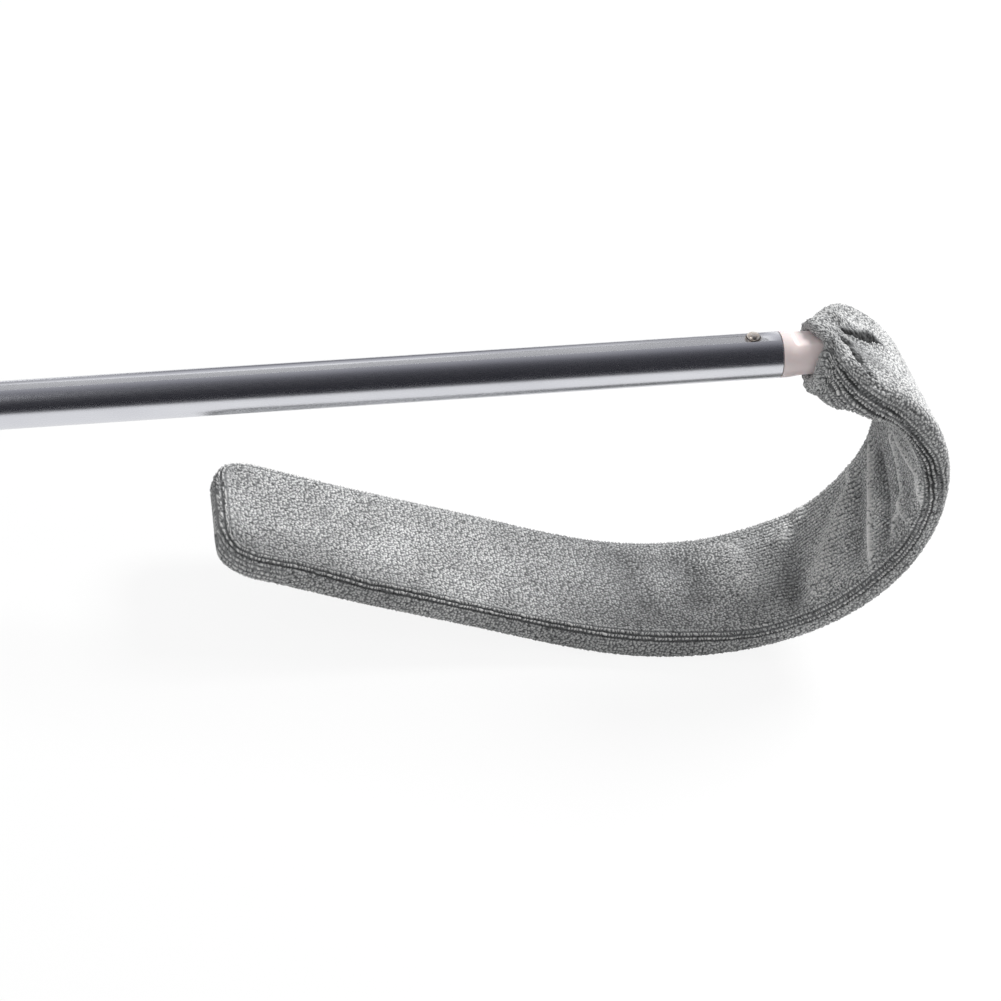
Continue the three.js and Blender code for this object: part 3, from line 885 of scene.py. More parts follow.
# %% Slit and valley at the mouth
lip_path = [(55, -54), (51, -51.6), (46, -48.6), (41, -46), (36.8, -43.3), (31.7, -40.2), (28.5, -38)]
lip_height = 1.5
lip_half_width = 1.3
slit_depth = 4.2
slit_sharp = 0.7
slit_wide = 11.0
slit_narrow = 3.4
slit_start_share = 0.25
slit_opening = 0.42
slit_ends = 0.1
slit_painted_shade_share = 0.86
slit_painted_shade_shares = (0.75, 1.2)
puff_height = 2.6
puff_half_width = 4.0
puff_move = (-4.8, -7.6)
valley_path = [(26.6, -33.4), (28.6, -29.6), (30.2, -25), (31.4, -20.5), (32, -16.5), (34.2, -8.5)]
valley_depth = 4.0
valley_half_width = 2.3
valley_ends = 0.12
valley_painted_shade_share = 0.76
bank_height = 1.3
bank_half_width = 1.5
bank_move = (-0.75, 3.0)
fan_path = [(22.5, -12.5), (25.5, -8.5), (29, -5.4), (33.5, -4.6), (40, -4.2)]
fan_height = 1.3
fan_half_width = 1.3


def slit_beside(path):
    """A slit beside a path: it drops sharply on the left of the path and rises slowly again. It
    is narrow at both ends, and widest in its first half. The second result is the painted shade that
    darkens the slit's colour."""
    signed, share = along_path(path)
    reach = mixed(slit_wide, slit_narrow, share)
    reach = reach * mixed(slit_start_share, 1, smooth(share, 0, slit_opening))
    shape = smooth(signed, 0, slit_sharp) * (1 - smooth(signed, slit_sharp, reach))
    fading, end = (part * reach for part in slit_painted_shade_shares)
    painted_shading = within(signed, -slit_sharp / 2, slit_sharp / 2, fading, end)
    faded = fade_ends(share, slit_ends)
    return -slit_depth * shape * faded, painted_shading * faded


slit, slit_painted_shade = slit_beside(lip_path)
valley = ridge(valley_path, -valley_depth, valley_half_width, valley_ends)
fold_height = slit + valley + ridge(lip_path, lip_height, lip_half_width)
fold_height += ridge(moved(lip_path, *puff_move), puff_height, puff_half_width)
fold_height += ridge(moved(valley_path, *bank_move), bank_height, bank_half_width)
fold_height += ridge(fan_path, fan_height, fan_half_width)
# The slit and the valley are also painted dark in the colour: painted shade in the hollows.
valley_painted_shade = np.clip(-valley / valley_depth, 0, 1)
dark = slit_painted_shade_share * slit_painted_shade + valley_painted_shade_share * valley_painted_shade
print("the slit is", -slit.min().round(1), "mm deep, the valley", -valley.min().round(1), "mm")

# %% Bulges at the mouth
# Each bulge on the inner side: its height, its place in u and v, and its reach in u and v.
bulges = [(5.5, 27, 17, 13, 14), (2.2, 19, 20, 5, 9), (2.4, 45, 13, 8, 8)]
bulge_rise = 5.0
bulge = sum(height * mound(*place) for height, *place in bulges)
fold_height += bulge * smooth(U, mouth_start, mouth_start + bulge_rise)
print("the bulges rise to", bulge.max().round(1), "mm")

# %% Creases inside the bend
# Each crease: its path, height, half width and painted shading: painted shade in a hollow if
# positive, painted light along a crest if negative.
inner_folds = [
    ([(124, 84), (131.5, 70), (141, 57.7), (152.5, 36.3), (162, 13), (166, 6)], 2.4, 1.9, -0.5),
    ([(101, 60), (106, 49.6), (116.5, 37.6), (124.5, 25.7), (129, 19), (130, 7)], 2.4, 1.8, -0.5),
    ([(125, 24), (137.5, 19.7), (145, 12)], 1.7, 1.7, -0.35),
    ([(101, 54), (101.5, 42), (102.5, 28.6), (101, 13.6), (109.5, 8.6), (119, 5)], 2.1, 1.8, -0.45),
    ([(148, 82), (151.5, 70), (158, 66), (168, 57)], 2.3, 3.2, -0.42),
    ([(186, 84), (191.5, 74), (198, 71.5), (207, 60)], 2.0, 3.2, -0.35),
    ([(108, 54), (120, 34), (127, 22)], -1.6, 2.6, 0.3),
    ([(121, 70), (129.5, 53.5), (136.8, 36.9), (145.6, 22.2), (154, 10)], -2.4, 3.8, 0.38),
    ([(142, 80), (149.2, 67.6), (158.6, 43.9), (171, 16)], -2.4, 4.4, 0.36),
    ([(160, 68), (168.5, 56.2), (181.4, 42.5), (194.3, 24.5), (204, 8)], 2.8, 5.0, -0.45),
    ([(188, 84), (198, 62), (202, 47.6), (206, 25), (210, 8)], -2.4, 6.0, 0.34),
    ([(235, 78), (232, 52), (233, 28)], 1.6, 7.0, -0.2),
    ([(264, 76), (256, 50), (264, 22)], -1.8, 8.0, 0.28),
    ([(292, 76), (290, 45), (284, 18)], -1.2, 7.0, 0.16)]
crisp_half_width = 2.0
crisp_height = np.zeros(U.shape)
for path, height, half_width, painted_shading in inner_folds:
    profile = ridge(path, 1.0, half_width)
    fold_height += height * profile
    # Painted shade along the hollows and painted light along the crests, in the colour.
    dark += painted_shading * np.sqrt(profile)
    if half_width < crisp_half_width:
        crisp_height += max(height, 0) * profile
print("creases", len(inner_folds), "the sharp ones up to", crisp_height.max().round(1), "mm")

# %% Waves over the cloth, and gathers round the mouth
# A wave is its height, the millimetres of u and of v to a radian, and its phase. A zone is where
# it starts, is full, begins to fade and ends.
hollow_waves = [(0.35, 9, 31, 0.0), (0.45, 23, -19, 1.3)]
hollow_zone = (60, 100, 190, 260)
inner_zone = (6, 16)
patch_waves = [(1.0, 37, math.inf, 0.7), (1.0, math.inf, 15, 0.4)]
slow_wave = (1.0, 21, 27, 0.0)
slow_height = 0.3
slow_rise = (60, 120)
slow_fade = (40, 10)
inner_side = smooth(V, *inner_zone)
hollows = sum(ripple(*wave) for wave in hollow_waves)
fold_height += hollows * within(U, *hollow_zone) * inner_side
patches = ripple(*patch_waves[0]) * ripple(*patch_waves[1])
slow_zone = (*slow_rise, *from_tip(slow_fade))
fold_height += slow_height * (patches + ripple(*slow_wave)) * within(U, *slow_zone)

flute_height = 1.1
flute_count = 15
sway = 1.6
sway_count = 4
sway_phase = 0.5
flute_rise = 4.0
flute_hold = 8.0
flute_run_out = 6.0
named_zone = (-60, -40, 4, 14)
named_flute_share = 0.5
flute_zone = (mouth_start, mouth_start + flute_rise, mouth_start + flute_hold,
              mouth_start + gather_length + flute_run_out)
flute = np.sin(rim_angle * flute_count + sway * np.sin(rim_angle * sway_count + sway_phase))
beside_named = 1 - named_flute_share * within(V, *named_zone)
fold_height += flute_height * flute * within(U, *flute_zone) * beside_named
print("folds from", fold_height.min().round(1), "to", fold_height.max().round(1), "mm")

# %% [markdown]
# ## Rows of loops beside the edges
#
# Terry is knitted in rows. Over the faces the loops lie every way and hide them, but beside the
# seam at each edge the cloth is stretched, and three or four rows part into grooves with a string
# of loops between. The grooves are sunk, and also darkened with painted shade. The places of three
# grooves are given along the head, and others follow at an even pitch. A painted picture could
# hold the rows, but it would have to follow the same paths, and its pixels would show close up.

# %% Places of the rows
row_pitch = 2.3
groove_paths = [
    [(14, -14), (19.5, -11), (21.5, -9), (23, -5.4), (26, -2.6), (30.5, -1.5), (38, -0.7),
     (47, 0.8), (57, 2.9), (66, 2.9), (77, 2.5), (85, 1.5), (93, 0.2), (103, -2.4),
     (125, -3.6), (200, -3.2), (263, -1.0), (300, -1.5), (507, -1.5)],
    [(14, -11), (19.5, -6.5), (22, -0.9), (26.5, 2.2), (31.5, 4.3), (42, 5.4), (60, 6.4),
     (71, 5.9), (78, 5.0), (87, 3.2), (96, 2.5), (104, 1.6), (113, 0.4), (135, 0.4),
     (147, 0.9), (164, 2.2), (190, 1.6), (232, 2.2), (263, 4.6), (284, 4.6), (410, 4.5),
     (435, 3.9), (471, 6.0), (507, 4.7)],
    [(14, -7), (17, -2.9), (19.5, 3.5), (25, 6.2), (30.5, 9.0), (37, 9.6), (60, 9.6),
     (80, 7.6), (94, 5.2), (103, 4.3), (119, 3.6), (127, 3.8), (137, 4.7), (156, 5.2),
     (176, 5.4), (232, 5.6), (263, 7.2), (410, 6.9), (435, 6.4), (471, 8.8), (507, 7.2)]]
g0, g1, g2 = (np.interp(U, *np.array(path, float).T) for path in groove_paths)
g3 = g2 + row_pitch

# The way round from the nearer edge. Round the tip's corners the rows turn and follow its end.
tip_turn_reach = 45.0
tip_turn_round = 2.0
tip_row_offset = 5.0
lowest_v = -20.0
highest_v = 60.0
quarter = perimeter[:, None] / 4
near = np.abs(V) < quarter
edge_v = np.where(near, V, np.sign(V) * (2 * quarter - np.abs(V)))
end_v = (head_end - U + tip_row_offset).clip(0, highest_v)
side_part = np.exp(-np.clip(edge_v, lowest_v, highest_v) / tip_turn_round)
turned_v = -tip_turn_round * np.log(side_part + np.exp(-end_v / tip_turn_round))
edge_v = np.where(U > head_end - tip_turn_reach, np.minimum(edge_v, turned_v), edge_v)
row = (edge_v - g1) / row_pitch
print("rows stand", row_pitch, "mm apart")

# %% How far the rows show
mouth_rise = (14, 22)
far_rise = (60, 100)
bend_zone = (14, 24, 95, 125)
cuff_zone = (18, 26, 48, 75)
inner_row_zone = (92, 118, 205, 250)
inner_row_rise = (12, 20)
corner_rise = (40, 22)
corner_zone = (-9, -6, 3, 6)
row_start = (1.6, 0.4)
row_hold = 0.8
row_run_out = 3.2
cuff_run_out = 11.0
outer_row_start = (6.5, 1.0)
outer_row_end = 1.0
inner_row_share = 0.6
corner_row_share = 0.85

bend_rows = within(U, *bend_zone)
cuff_rows = within(U, *cuff_zone)
shown = np.where(near, 1.0, smooth(U, *far_rise)) * smooth(U, *mouth_rise)
row_end = g3 + row_run_out + cuff_run_out * cuff_rows
row_share = within(edge_v, g1 - row_start[0], g1 - row_start[1], g2 + row_hold, row_end)
outer_rows = within(edge_v, g0 - outer_row_start[0], g0 - outer_row_start[1],
                    g1 - outer_row_end, g1 + outer_row_end)
inner_rows = within(U, *inner_row_zone) * smooth(V, *inner_row_rise)
corner_rows = smooth(U, *from_tip(corner_rise)) * within(edge_v, *corner_zone)
row_share = np.maximum(row_share, outer_rows * bend_rows) * shown
row_share = np.maximum(row_share, inner_row_share * inner_rows)
row_share = np.maximum(row_share, corner_row_share * corner_rows)
print("rows cover", row_share.mean().round(2), "of the cloth")

# %% Grooves between the rows
groove_half_width = 0.8
groove_depth = 1.0
straight_groove_share = 0.5
least_bend_rows = 0.1
tip_groove_fade = (22, 10)
tip_groove_loss = 0.55
groove_seen = 0.5


def groove_at(g):
    return np.exp(-((edge_v - g) / groove_half_width) ** 2)


# The outermost groove only shows where the head is bent.
grooves = groove_at(g0) * (bend_rows >= least_bend_rows) + groove_at(g1) + groove_at(g2)
grooves = grooves * shown * mixed(straight_groove_share, 1, bend_rows)
grooves = grooves * (1 - tip_groove_loss * smooth(U, *from_tip(tip_groove_fade)))
fold_height -= groove_depth * grooves
print("grooves cover", (grooves > groove_seen).mean().round(2), "of the cloth")

# %% Painted shade and light, and calmer places
lightest = -0.7
darkest = 1.0
patch_place = (36, -33, 9, 9)
low_run_middle = 300.0
low_run_reach = 48.0
light_zone = (125, 145, 190, 215)
outer_rise = (12, 26)
outer_start = (50, 80)
side_rise = (-7, -4)
side_end = (1.4, 0.2)
crisp_full = 1.8
# Painted shade in the grooves, in the hollow patch by the slit, along the low run and over the lit
# outer face; painted light (negative) along the lighter run inside the bend.
painted_light_and_shade = {"groove": 0.65, "patch": 0.4, "low run": 0.3, "light run": -0.2, "outer": 0.13}
calms = {"side": 0.1, "crisp": 0.9, "patch": 0.5, "outer": 0.45}

# The fine patch has a finer, calmer weave, and is also painted darker: painted shade in its hollow.
fine_weave_and_painted_shade = mound(*patch_place)
low_run_painted_shade = np.exp(-((U - low_run_middle) / low_run_reach) ** 2) * inner_side
painted_light_run = within(U, *light_zone) * inner_side
outer_face = smooth(-V, *outer_rise) * smooth(U, *outer_start)
run_painted_light_and_shade = painted_light_and_shade["low run"] * low_run_painted_shade + painted_light_and_shade["light run"] * painted_light_run
for change in (painted_light_and_shade["groove"] * grooves, painted_light_and_shade["patch"] * fine_weave_and_painted_shade + run_painted_light_and_shade,
               painted_light_and_shade["outer"] * outer_face):
    dark = np.clip(dark + change, lightest, darkest)

side_band = within(edge_v, *side_rise, g1 - side_end[0], g1 - side_end[1]) * (1 - bend_rows)
calm_places = [("side", side_band), ("crisp", np.clip(crisp_height / crisp_full, 0, 1)),
               ("patch", fine_weave_and_painted_shade), ("outer", outer_face)]
calm = np.zeros(U.shape)
for name, place in calm_places:
    calm = np.maximum(calm, calms[name] * place)
print("gloom from", dark.min().round(2), "to", dark.max().round(2), "mean", dark.mean().round(3))

# %% [markdown]
# ## Lip and bore of the mouth
#
# The rim is a hem with an elastic inside. It rolls in round a soft lip, and runs back inside
# along the ferrule. A Solidify modifier could give the whole bag a wall, but only the mouth shows
# its inside, and a few more rings are enough for that.

# %% Lip and bore
bore_end = 22.0
bore_gap = 0.45
bore_calm = 0.6
bore_steps = 5
lip_steps = 12
inner_rings = bore_steps + lip_steps


def bar_outline(gap):
    """Points round the ferrule's flatted bar, at a gap, in the same order as the cloth's."""
    reach = tongue_radius + gap
    level = tongue_flat + gap
    return -reach * np.cos(rim_angle), np.clip(reach * np.sin(rim_angle), -level, level)


bore_side, bore_out = bar_outline(bore_gap)
lip_turn = np.linspace(math.pi, 0, lip_steps + 1)[:-1, None]
middle_side = (side[0] + bore_side) / 2
middle_out = (out[0] + bore_out) / 2
lip_side = middle_side + np.cos(lip_turn) * (side[0] - middle_side)
lip_out = middle_out + np.cos(lip_turn) * (out[0] - middle_out)
lip_points = on_head(U[0] - lip_length * np.sin(lip_turn), lip_side, lip_out)
bore_share = np.linspace(1, 0, bore_steps + 1)[:-1, None]
bore_line = U[0] + (bore_end - U[0]) * bore_share
bore_points = np.stack(np.broadcast_arrays(bore_line, bore_side, bore_out), axis=-1)
all_points = np.concatenate([bore_points, lip_points, base])
print("inner rings", inner_rings)


def with_lip(values, inner=0.0):
    """Values of the outer skin, with one value for the bore and a fade over the lip."""
    fade = np.concatenate([np.zeros(bore_steps), 1 - np.linspace(1, 0, lip_steps + 1)[:-1]])[:, None]
    return np.concatenate([inner + (values[:1] - inner) * fade, values])


# %% [markdown]
# ## From the rule to a skin
#
# The folds move each point along the surface's own direction. A Displace modifier could do it
# from a picture of heights, but heights that are worked out for each point stay exact. The
# direction is taken from the skin before it is folded. Each point also keeps its place on the
# cloth, measured over the folded skin, so that loops keep their size in the gathers.

# %% Skin
least_length = 1e-9


def surface_normals(points):
    """Normals of a grid of rings, from the steps along and round it, pointing outwards."""
    round_step = np.roll(points, -1, axis=1) - np.roll(points, 1, axis=1)
    normal = np.cross(np.gradient(points, axis=0), round_step)
    length = np.linalg.norm(normal, axis=-1, keepdims=True)
    normal = normal / np.maximum(length, least_length)
    middle = len(points) // 2
    outward = points[middle] - points[middle].mean(axis=0)
    return normal * math.copysign(1, float((normal[middle] * outward).sum()))


tip_level = 3.0
gather_end = 58.0
gather_fade = 18.0
ring_count = len(all_points)
run_u = np.concatenate([np.zeros(inner_rings), all_u])[:, None]
tip_fade = 1 - smooth(run_u, head_end - tip_level, head_end)
lift = with_lip(fold_height) * tip_fade
skin_points = all_points + surface_normals(all_points) * lift[..., None]


def ring_of(u):
    return inner_rings + int(np.argmin(abs(all_u - u)))


step_along = np.linalg.norm(np.diff(skin_points, axis=0, prepend=skin_points[:1]), axis=-1)
even_share = smooth(run_u, gather_end - gather_fade, gather_end)
even_step = np.diff(run_u, axis=0, prepend=0)
run_along = np.cumsum(mixed(step_along, even_step, even_share), axis=0)
cloth_u = run_along - run_along[ring_of(gather_end)]
step_round = np.linalg.norm(skin_points - np.roll(skin_points, 1, axis=1), axis=-1)
run_round = np.cumsum(step_round, axis=1)
cloth_v = run_round - run_round[:, ring_sides // 2][:, None]

skin_mesh = bpy.data.meshes.new("terry_skin")
skin_faces = ring_faces(ring_count, ring_sides, False)
skin_mesh.from_pydata(to_row(skin_points.reshape(-1, 3)), [], skin_faces)
skin = in_scene("terry_skin", skin_mesh)


def keep_attribute(mesh, name, values):
    """Keeps a value, or a place, at each point of a mesh."""
    vector = values.shape[-1] == 3
    attribute = mesh.attributes.new(name, "FLOAT_VECTOR" if vector else "FLOAT", "POINT")
    attribute.data.foreach_set("vector" if vector else "value",
                               np.ascontiguousarray(values, dtype=np.float32).ravel())


# dark carries the painted shade and the painted light into the colour.
skin_values = {
    "cloth": np.stack([cloth_u, cloth_v, 0 * cloth_u], axis=-1), "row": with_lip(row),
    "row_share": with_lip(row_share), "calm": with_lip(calm, bore_calm), "dark": with_lip(dark)}
for name, values in skin_values.items():
    keep_attribute(skin_mesh, name, values)
print("skin faces", len(skin_mesh.polygons))

# %% [markdown]
# ## The pile of loops
#
# Terry microfibre is covered with short loops, less than two millimetres apart. One pattern gives
# their height, from 0 in the gaps to 1 at the tips: a cell pattern over the cloth places each loop
# and makes some taller. Beside the edges the rows take over, each a string of beads with a groove
# between. Loops could be set on the skin one by one, but there are tens of thousands. So a Geometry
# Nodes tree raises the skin itself by the pattern, and the material paints the same pattern into
# its colour: painted light on the tips, and painted shade in the gaps between loops and in the grooves.

# %% Pattern of the pile
pile_sizes = {"Loop pitch": 1.45, "Loop height": 0.75, "Row height": 1.0, "Bead pitch": 1.9,
              "Loop disorder": 0.85}
loop_core = 0.12
loop_edge = 0.62
least_tall = 0.55
wander_scale = 0.35
row_wander = 0.4
bead_wander = 2.5
bead_shift = 0.37
crest_start = 0.12
crest_full = 0.38
crest_height = 1.1
bead_start = 0.08
bead_full = 0.42
bead_height = 1.05
uneven_beads = 0.15


def pile_pattern(tree, cloth, row, row_share, pitch, bead_pitch, disorder):
    """The pile's height, from the place on the cloth, the row's number and how far rows show."""
    place = add_node(tree, "ShaderNodeVectorMath", [cloth, pitch], operation="DIVIDE")
    cells = add_node(tree, "ShaderNodeTexVoronoi", {
        "Vector": place, "Scale": 1.0, "Randomness": disorder}, voronoi_dimensions="2D").outputs
    dome = add_node(tree, "ShaderNodeMapRange", {
        "Value": cells["Distance"], "From Min": loop_core, "From Max": loop_edge,
        "To Min": 1.0, "To Max": 0.0}, interpolation_type="SMOOTHSTEP")
    chance = add_node(tree, "ShaderNodeSeparateXYZ", [cells["Color"]])
    tall = add_node(tree, "ShaderNodeMapRange", {
        "Value": chance, "To Min": least_tall}, interpolation_type="SMOOTHSTEP")
    loop = add_node(tree, "ShaderNodeMath", [dome, tall], operation="MULTIPLY")
    wander = add_node(tree, "ShaderNodeTexNoise", {
        "Vector": place, "Scale": wander_scale, "Detail": 1.0}, noise_dimensions="2D")
    sway = add_node(tree, "ShaderNodeMath", [wander, 0.5], operation="SUBTRACT")
    bent_row = add_node(tree, "ShaderNodeMath", [sway, row_wander, row], operation="MULTIPLY_ADD")
    from_groove = add_node(tree, "ShaderNodeMath", [bent_row, 0.5], operation="PINGPONG")
    crest = add_node(tree, "ShaderNodeMapRange", {
        "Value": from_groove, "From Min": crest_start, "From Max": crest_full,
        "To Max": crest_height}, interpolation_type="SMOOTHSTEP")
    along = add_node(tree, "ShaderNodeSeparateXYZ", [cloth])
    beat = add_node(tree, "ShaderNodeMath", [along, bead_pitch], operation="DIVIDE")
    number = add_node(tree, "ShaderNodeMath", [bent_row], operation="FLOOR")
    beat = add_node(tree, "ShaderNodeMath", [number, bead_shift, beat], operation="MULTIPLY_ADD")
    beat = add_node(tree, "ShaderNodeMath", [wander, bead_wander, beat], operation="MULTIPLY_ADD")
    from_gap = add_node(tree, "ShaderNodeMath", [beat, 0.5], operation="PINGPONG")
    bead = add_node(tree, "ShaderNodeMapRange", {
        "Value": from_gap, "From Min": bead_start, "From Max": bead_full,
        "To Max": bead_height}, interpolation_type="SMOOTHSTEP")
    string = add_node(tree, "ShaderNodeMath", [crest, bead], operation="MULTIPLY")
    uneven = add_node(tree, "ShaderNodeMath", [crest, tall], operation="MULTIPLY")
    string = add_node(tree, "ShaderNodeMix", {"Factor": uneven_beads, "A": string, "B": uneven})
    return add_node(tree, "ShaderNodeMix", {"Factor": row_share, "A": loop, "B": string})


print("loops stand", pile_sizes["Loop pitch"], "mm apart")

# %% Tree that raises the pile
calm_height_share = 0.3


def pile_tree(material):
    """The tree, and the keys of its inputs by name."""
    tree = bpy.data.node_groups.new("pile_of_loops", "GeometryNodeTree")
    tree.interface.new_socket("Geometry", in_out="INPUT", socket_type="NodeSocketGeometry")
    keys = {}
    for name in pile_sizes:
        socket = tree.interface.new_socket(name, in_out="INPUT", socket_type="NodeSocketFloat")
        keys[name] = socket.identifier
    tree.interface.new_socket("Geometry", in_out="OUTPUT", socket_type="NodeSocketGeometry")
    given = add_node(tree, "NodeGroupInput").outputs
    cloth = add_node(tree, "GeometryNodeInputNamedAttribute", {"Name": "cloth"},
                     data_type="FLOAT_VECTOR")
    row, row_share, calm = (
        add_node(tree, "GeometryNodeInputNamedAttribute", {"Name": name}, data_type="FLOAT")
        for name in ("row", "row_share", "calm"))
    nap = pile_pattern(tree, cloth, row, row_share,
                       given["Loop pitch"], given["Bead pitch"], given["Loop disorder"])
    height = add_node(tree, "ShaderNodeMix", {
        "Factor": row_share, "A": given["Loop height"], "B": given["Row height"]})
    flatter = add_node(tree, "ShaderNodeMapRange", {
        "Value": calm, "To Min": 1.0, "To Max": calm_height_share}, interpolation_type="SMOOTHSTEP")
    height = add_node(tree, "ShaderNodeMath", [height, flatter], operation="MULTIPLY")
    # The pile stands half above and half below the surface of the rule.
    lift = add_node(tree, "ShaderNodeMath", [nap, 0.5], operation="SUBTRACT")
    lift = add_node(tree, "ShaderNodeMath", [lift, height], operation="MULTIPLY")
    lift = add_node(tree, "ShaderNodeMath", [lift, MM], operation="MULTIPLY")
    normal = add_node(tree, "GeometryNodeInputNormal")
    offset = add_node(tree, "ShaderNodeVectorMath", {0: normal, "Scale": lift}, operation="SCALE")
    raised = add_node(tree, "GeometryNodeSetPosition", {
        "Geometry": given["Geometry"], "Offset": offset})
    real = add_node(tree, "GeometryNodeRealizeInstances", [raised])
    dressed = add_node(tree, "GeometryNodeSetMaterial", {"Geometry": real, "Material": material})
    add_node(tree, "NodeGroupOutput", {"Geometry": dressed})
    return tree, keys


print("the tree has", len(pile_sizes), "sizes as inputs")

# %% Terry material
# A split fibre is far too fine to show. This grain is as coarse as tufts of them.
fibre_size = 0.7
fibre_depth = 0.12
fibre_share = 0.9
nap_share = 0.72
calm_gain = 0.6
calm_floor = 0.1
light_gain = 0.72
light_floor = 0.215
pit_size = 1.6
pit_start = 0.35
pit_end = 0.43
pit_darkest = 0.45
patch_size = 30.0


def terry_microfibre():
    """Split polyester fibres: dull, with a soft sheen at glancing angles. The colour has painted
    light on the tips and painted shade in the gaps, and the painted shading of the dark attribute.
    """
    material, tree = new_material("terry_microfibre")
    cloth, row, row_share, calm, dark = (
        add_node(tree, "ShaderNodeAttribute", attribute_name=name).outputs[output]
        for name, output in (("cloth", "Vector"), ("row", "Fac"), ("row_share", "Fac"),
                             ("calm", "Fac"), ("dark", "Fac")))
    nap = pile_pattern(tree, cloth, row, row_share, (pile_sizes["Loop pitch"],) * 3,
                       pile_sizes["Bead pitch"], pile_sizes["Loop disorder"])
    fibre = grain(tree, fibre_size, detail=3.0)
    fuzz = add_node(tree, "ShaderNodeMath", [fibre, 0.5], operation="SUBTRACT")
    nap = add_node(tree, "ShaderNodeMath", [fuzz, fibre_share, nap], operation="MULTIPLY_ADD")
    smoothed = add_node(tree, "ShaderNodeMath", [calm, calm_gain, calm_floor],
                        operation="MULTIPLY_ADD")
    lit = add_node(tree, "ShaderNodeMix", {"Factor": smoothed, "A": nap, "B": nap_share})
    lit = add_node(tree, "ShaderNodeMath", [lit, light_gain, light_floor], operation="MULTIPLY_ADD")
    # A few pits between the loops get painted shade, darker than the rest.
    pits = add_node(tree, "ShaderNodeMapRange", {
        "Value": grain(tree, pit_size), "From Min": pit_start, "From Max": pit_end,
        "To Min": pit_darkest}, interpolation_type="SMOOTHSTEP")
    lit = add_node(tree, "ShaderNodeMath", [lit, pits], operation="MULTIPLY")
    unshaded = add_node(tree, "ShaderNodeMath", [1.0, dark], operation="SUBTRACT")
    shade = add_node(tree, "ShaderNodeMath", [lit, unshaded], operation="MULTIPLY")
    # The grey runs from near black in the gaps to light on the tips: painted shade and painted light.
    colour = add_node(tree, "ShaderNodeValToRGB", [shade], [
        (0.0, "131314"), (0.3, "727374"), (0.65, "b9baba"), (1.0, "e2e1e0")])
    tint = add_node(tree, "ShaderNodeValToRGB", [grain(tree, patch_size)], [
        (0.35, "e0e0e0"), (0.65, "fafafa")])
    tinted = add_node(tree, "ShaderNodeMix", {"Factor": 1.0, "A": colour, "B": tint},
                      data_type="RGBA", blend_type="MULTIPLY")
    bump = add_node(tree, "ShaderNodeBump", {"Height": fibre, "Distance": fibre_depth * MM})
    cloth_surface = add_node(tree, "ShaderNodeBsdfPrincipled", {
        "Base Color": tinted, "Roughness": 0.95, "Specular IOR Level": 0.2,
        "Sheen Weight": 0.25, "Sheen Roughness": 0.5, "Normal": bump})
    add_node(tree, "ShaderNodeOutputMaterial", [cloth_surface])
    return material


terry = terry_microfibre()
print("cloth", terry.name)

# %% Raised skin
tree, keys = pile_tree(terry)
piled = skin.modifiers.new("pile", "NODES")
piled.node_group = tree
for name, size in pile_sizes.items():
    piled[keys[name]] = size
settle(skin)


def kept_grid(elements, key):
    """What each point of the raised skin holds, ring by ring."""
    values = np.empty(ring_count * ring_sides * 3)
    elements.foreach_get(key, values)
    return values.reshape(ring_count, ring_sides, 3)


pile_points = kept_grid(skin.data.vertices, "co")
pile_normals = kept_grid(skin.data.vertex_normals, "vector")
bpy.data.objects.remove(skin)
print("points of the pile", ring_count * ring_sides)

# %% [markdown]
# ## Cutting the skin into a mouth, ten strips and a tip
#
# The head bends at ten hinges, so the cloth is cut half way between them, and each strip spans
# one hinge between the two links it joins. The stretch of each strip over its hinge is measured and
# printed. Each piece is closed with an inner wall, which leaves room for the blade. Twelve bags
# could be made from the start, but their pile wouldn't meet. Cut from one skin, with the whole
# skin's normals, they show no seam.

# %% Tools for cutting
wall_step = 6.0
least_wall_round = 0.6


def wall_ring(u, height_share=1.0):
    """A ring of the inner wall, at the cloth's own thickness inside the rule's surface."""
    w, t, r = sleeve_size(np.array([u]))
    w = w - sleeve_wall
    t = (t - sleeve_wall) * height_share
    r = np.minimum(np.maximum(r - sleeve_wall, least_wall_round), np.minimum(w, t))
    ring_side, ring_out = across(turn_share * way_round(w, t, r), w, t, r)
    return to_row(on_head(np.full(ring_sides, u), ring_side, ring_out))


def mesh_volume(points, faces):
    """A volume's measure, which is negative if the faces look inwards."""
    a, b, c, d = (points[faces[:, k]] for k in range(4))
    return float((np.cross(a, b) * c).sum() + (np.cross(a, c) * d).sum())


def lay_out(mesh, ring, place, total):
    """The piece's own flat layout for painting: rings along it, sides across it."""
    along = (np.arange(total + 1) + 0.5) / (total + 1)
    across_share = np.arange(ring_sides + 1) / ring_sides
    u = np.stack([along[ring], along[ring], along[ring + 1], along[ring + 1]], axis=-1)
    v = np.stack([across_share[place], across_share[place + 1],
                  across_share[place + 1], across_share[place]], axis=-1)
    layer = mesh.uv_layers.new(name="OFBake")
    layer.data.foreach_set("uv", np.stack([u, v], axis=-1).astype(np.float32).ravel())


def wall_directions(walls):
    """Directions on the inner walls, towards the middle of each ring."""
    inwards = np.array([ring.mean(axis=0) - ring for ring in walls])
    return inwards / np.linalg.norm(inwards, axis=-1, keepdims=True)


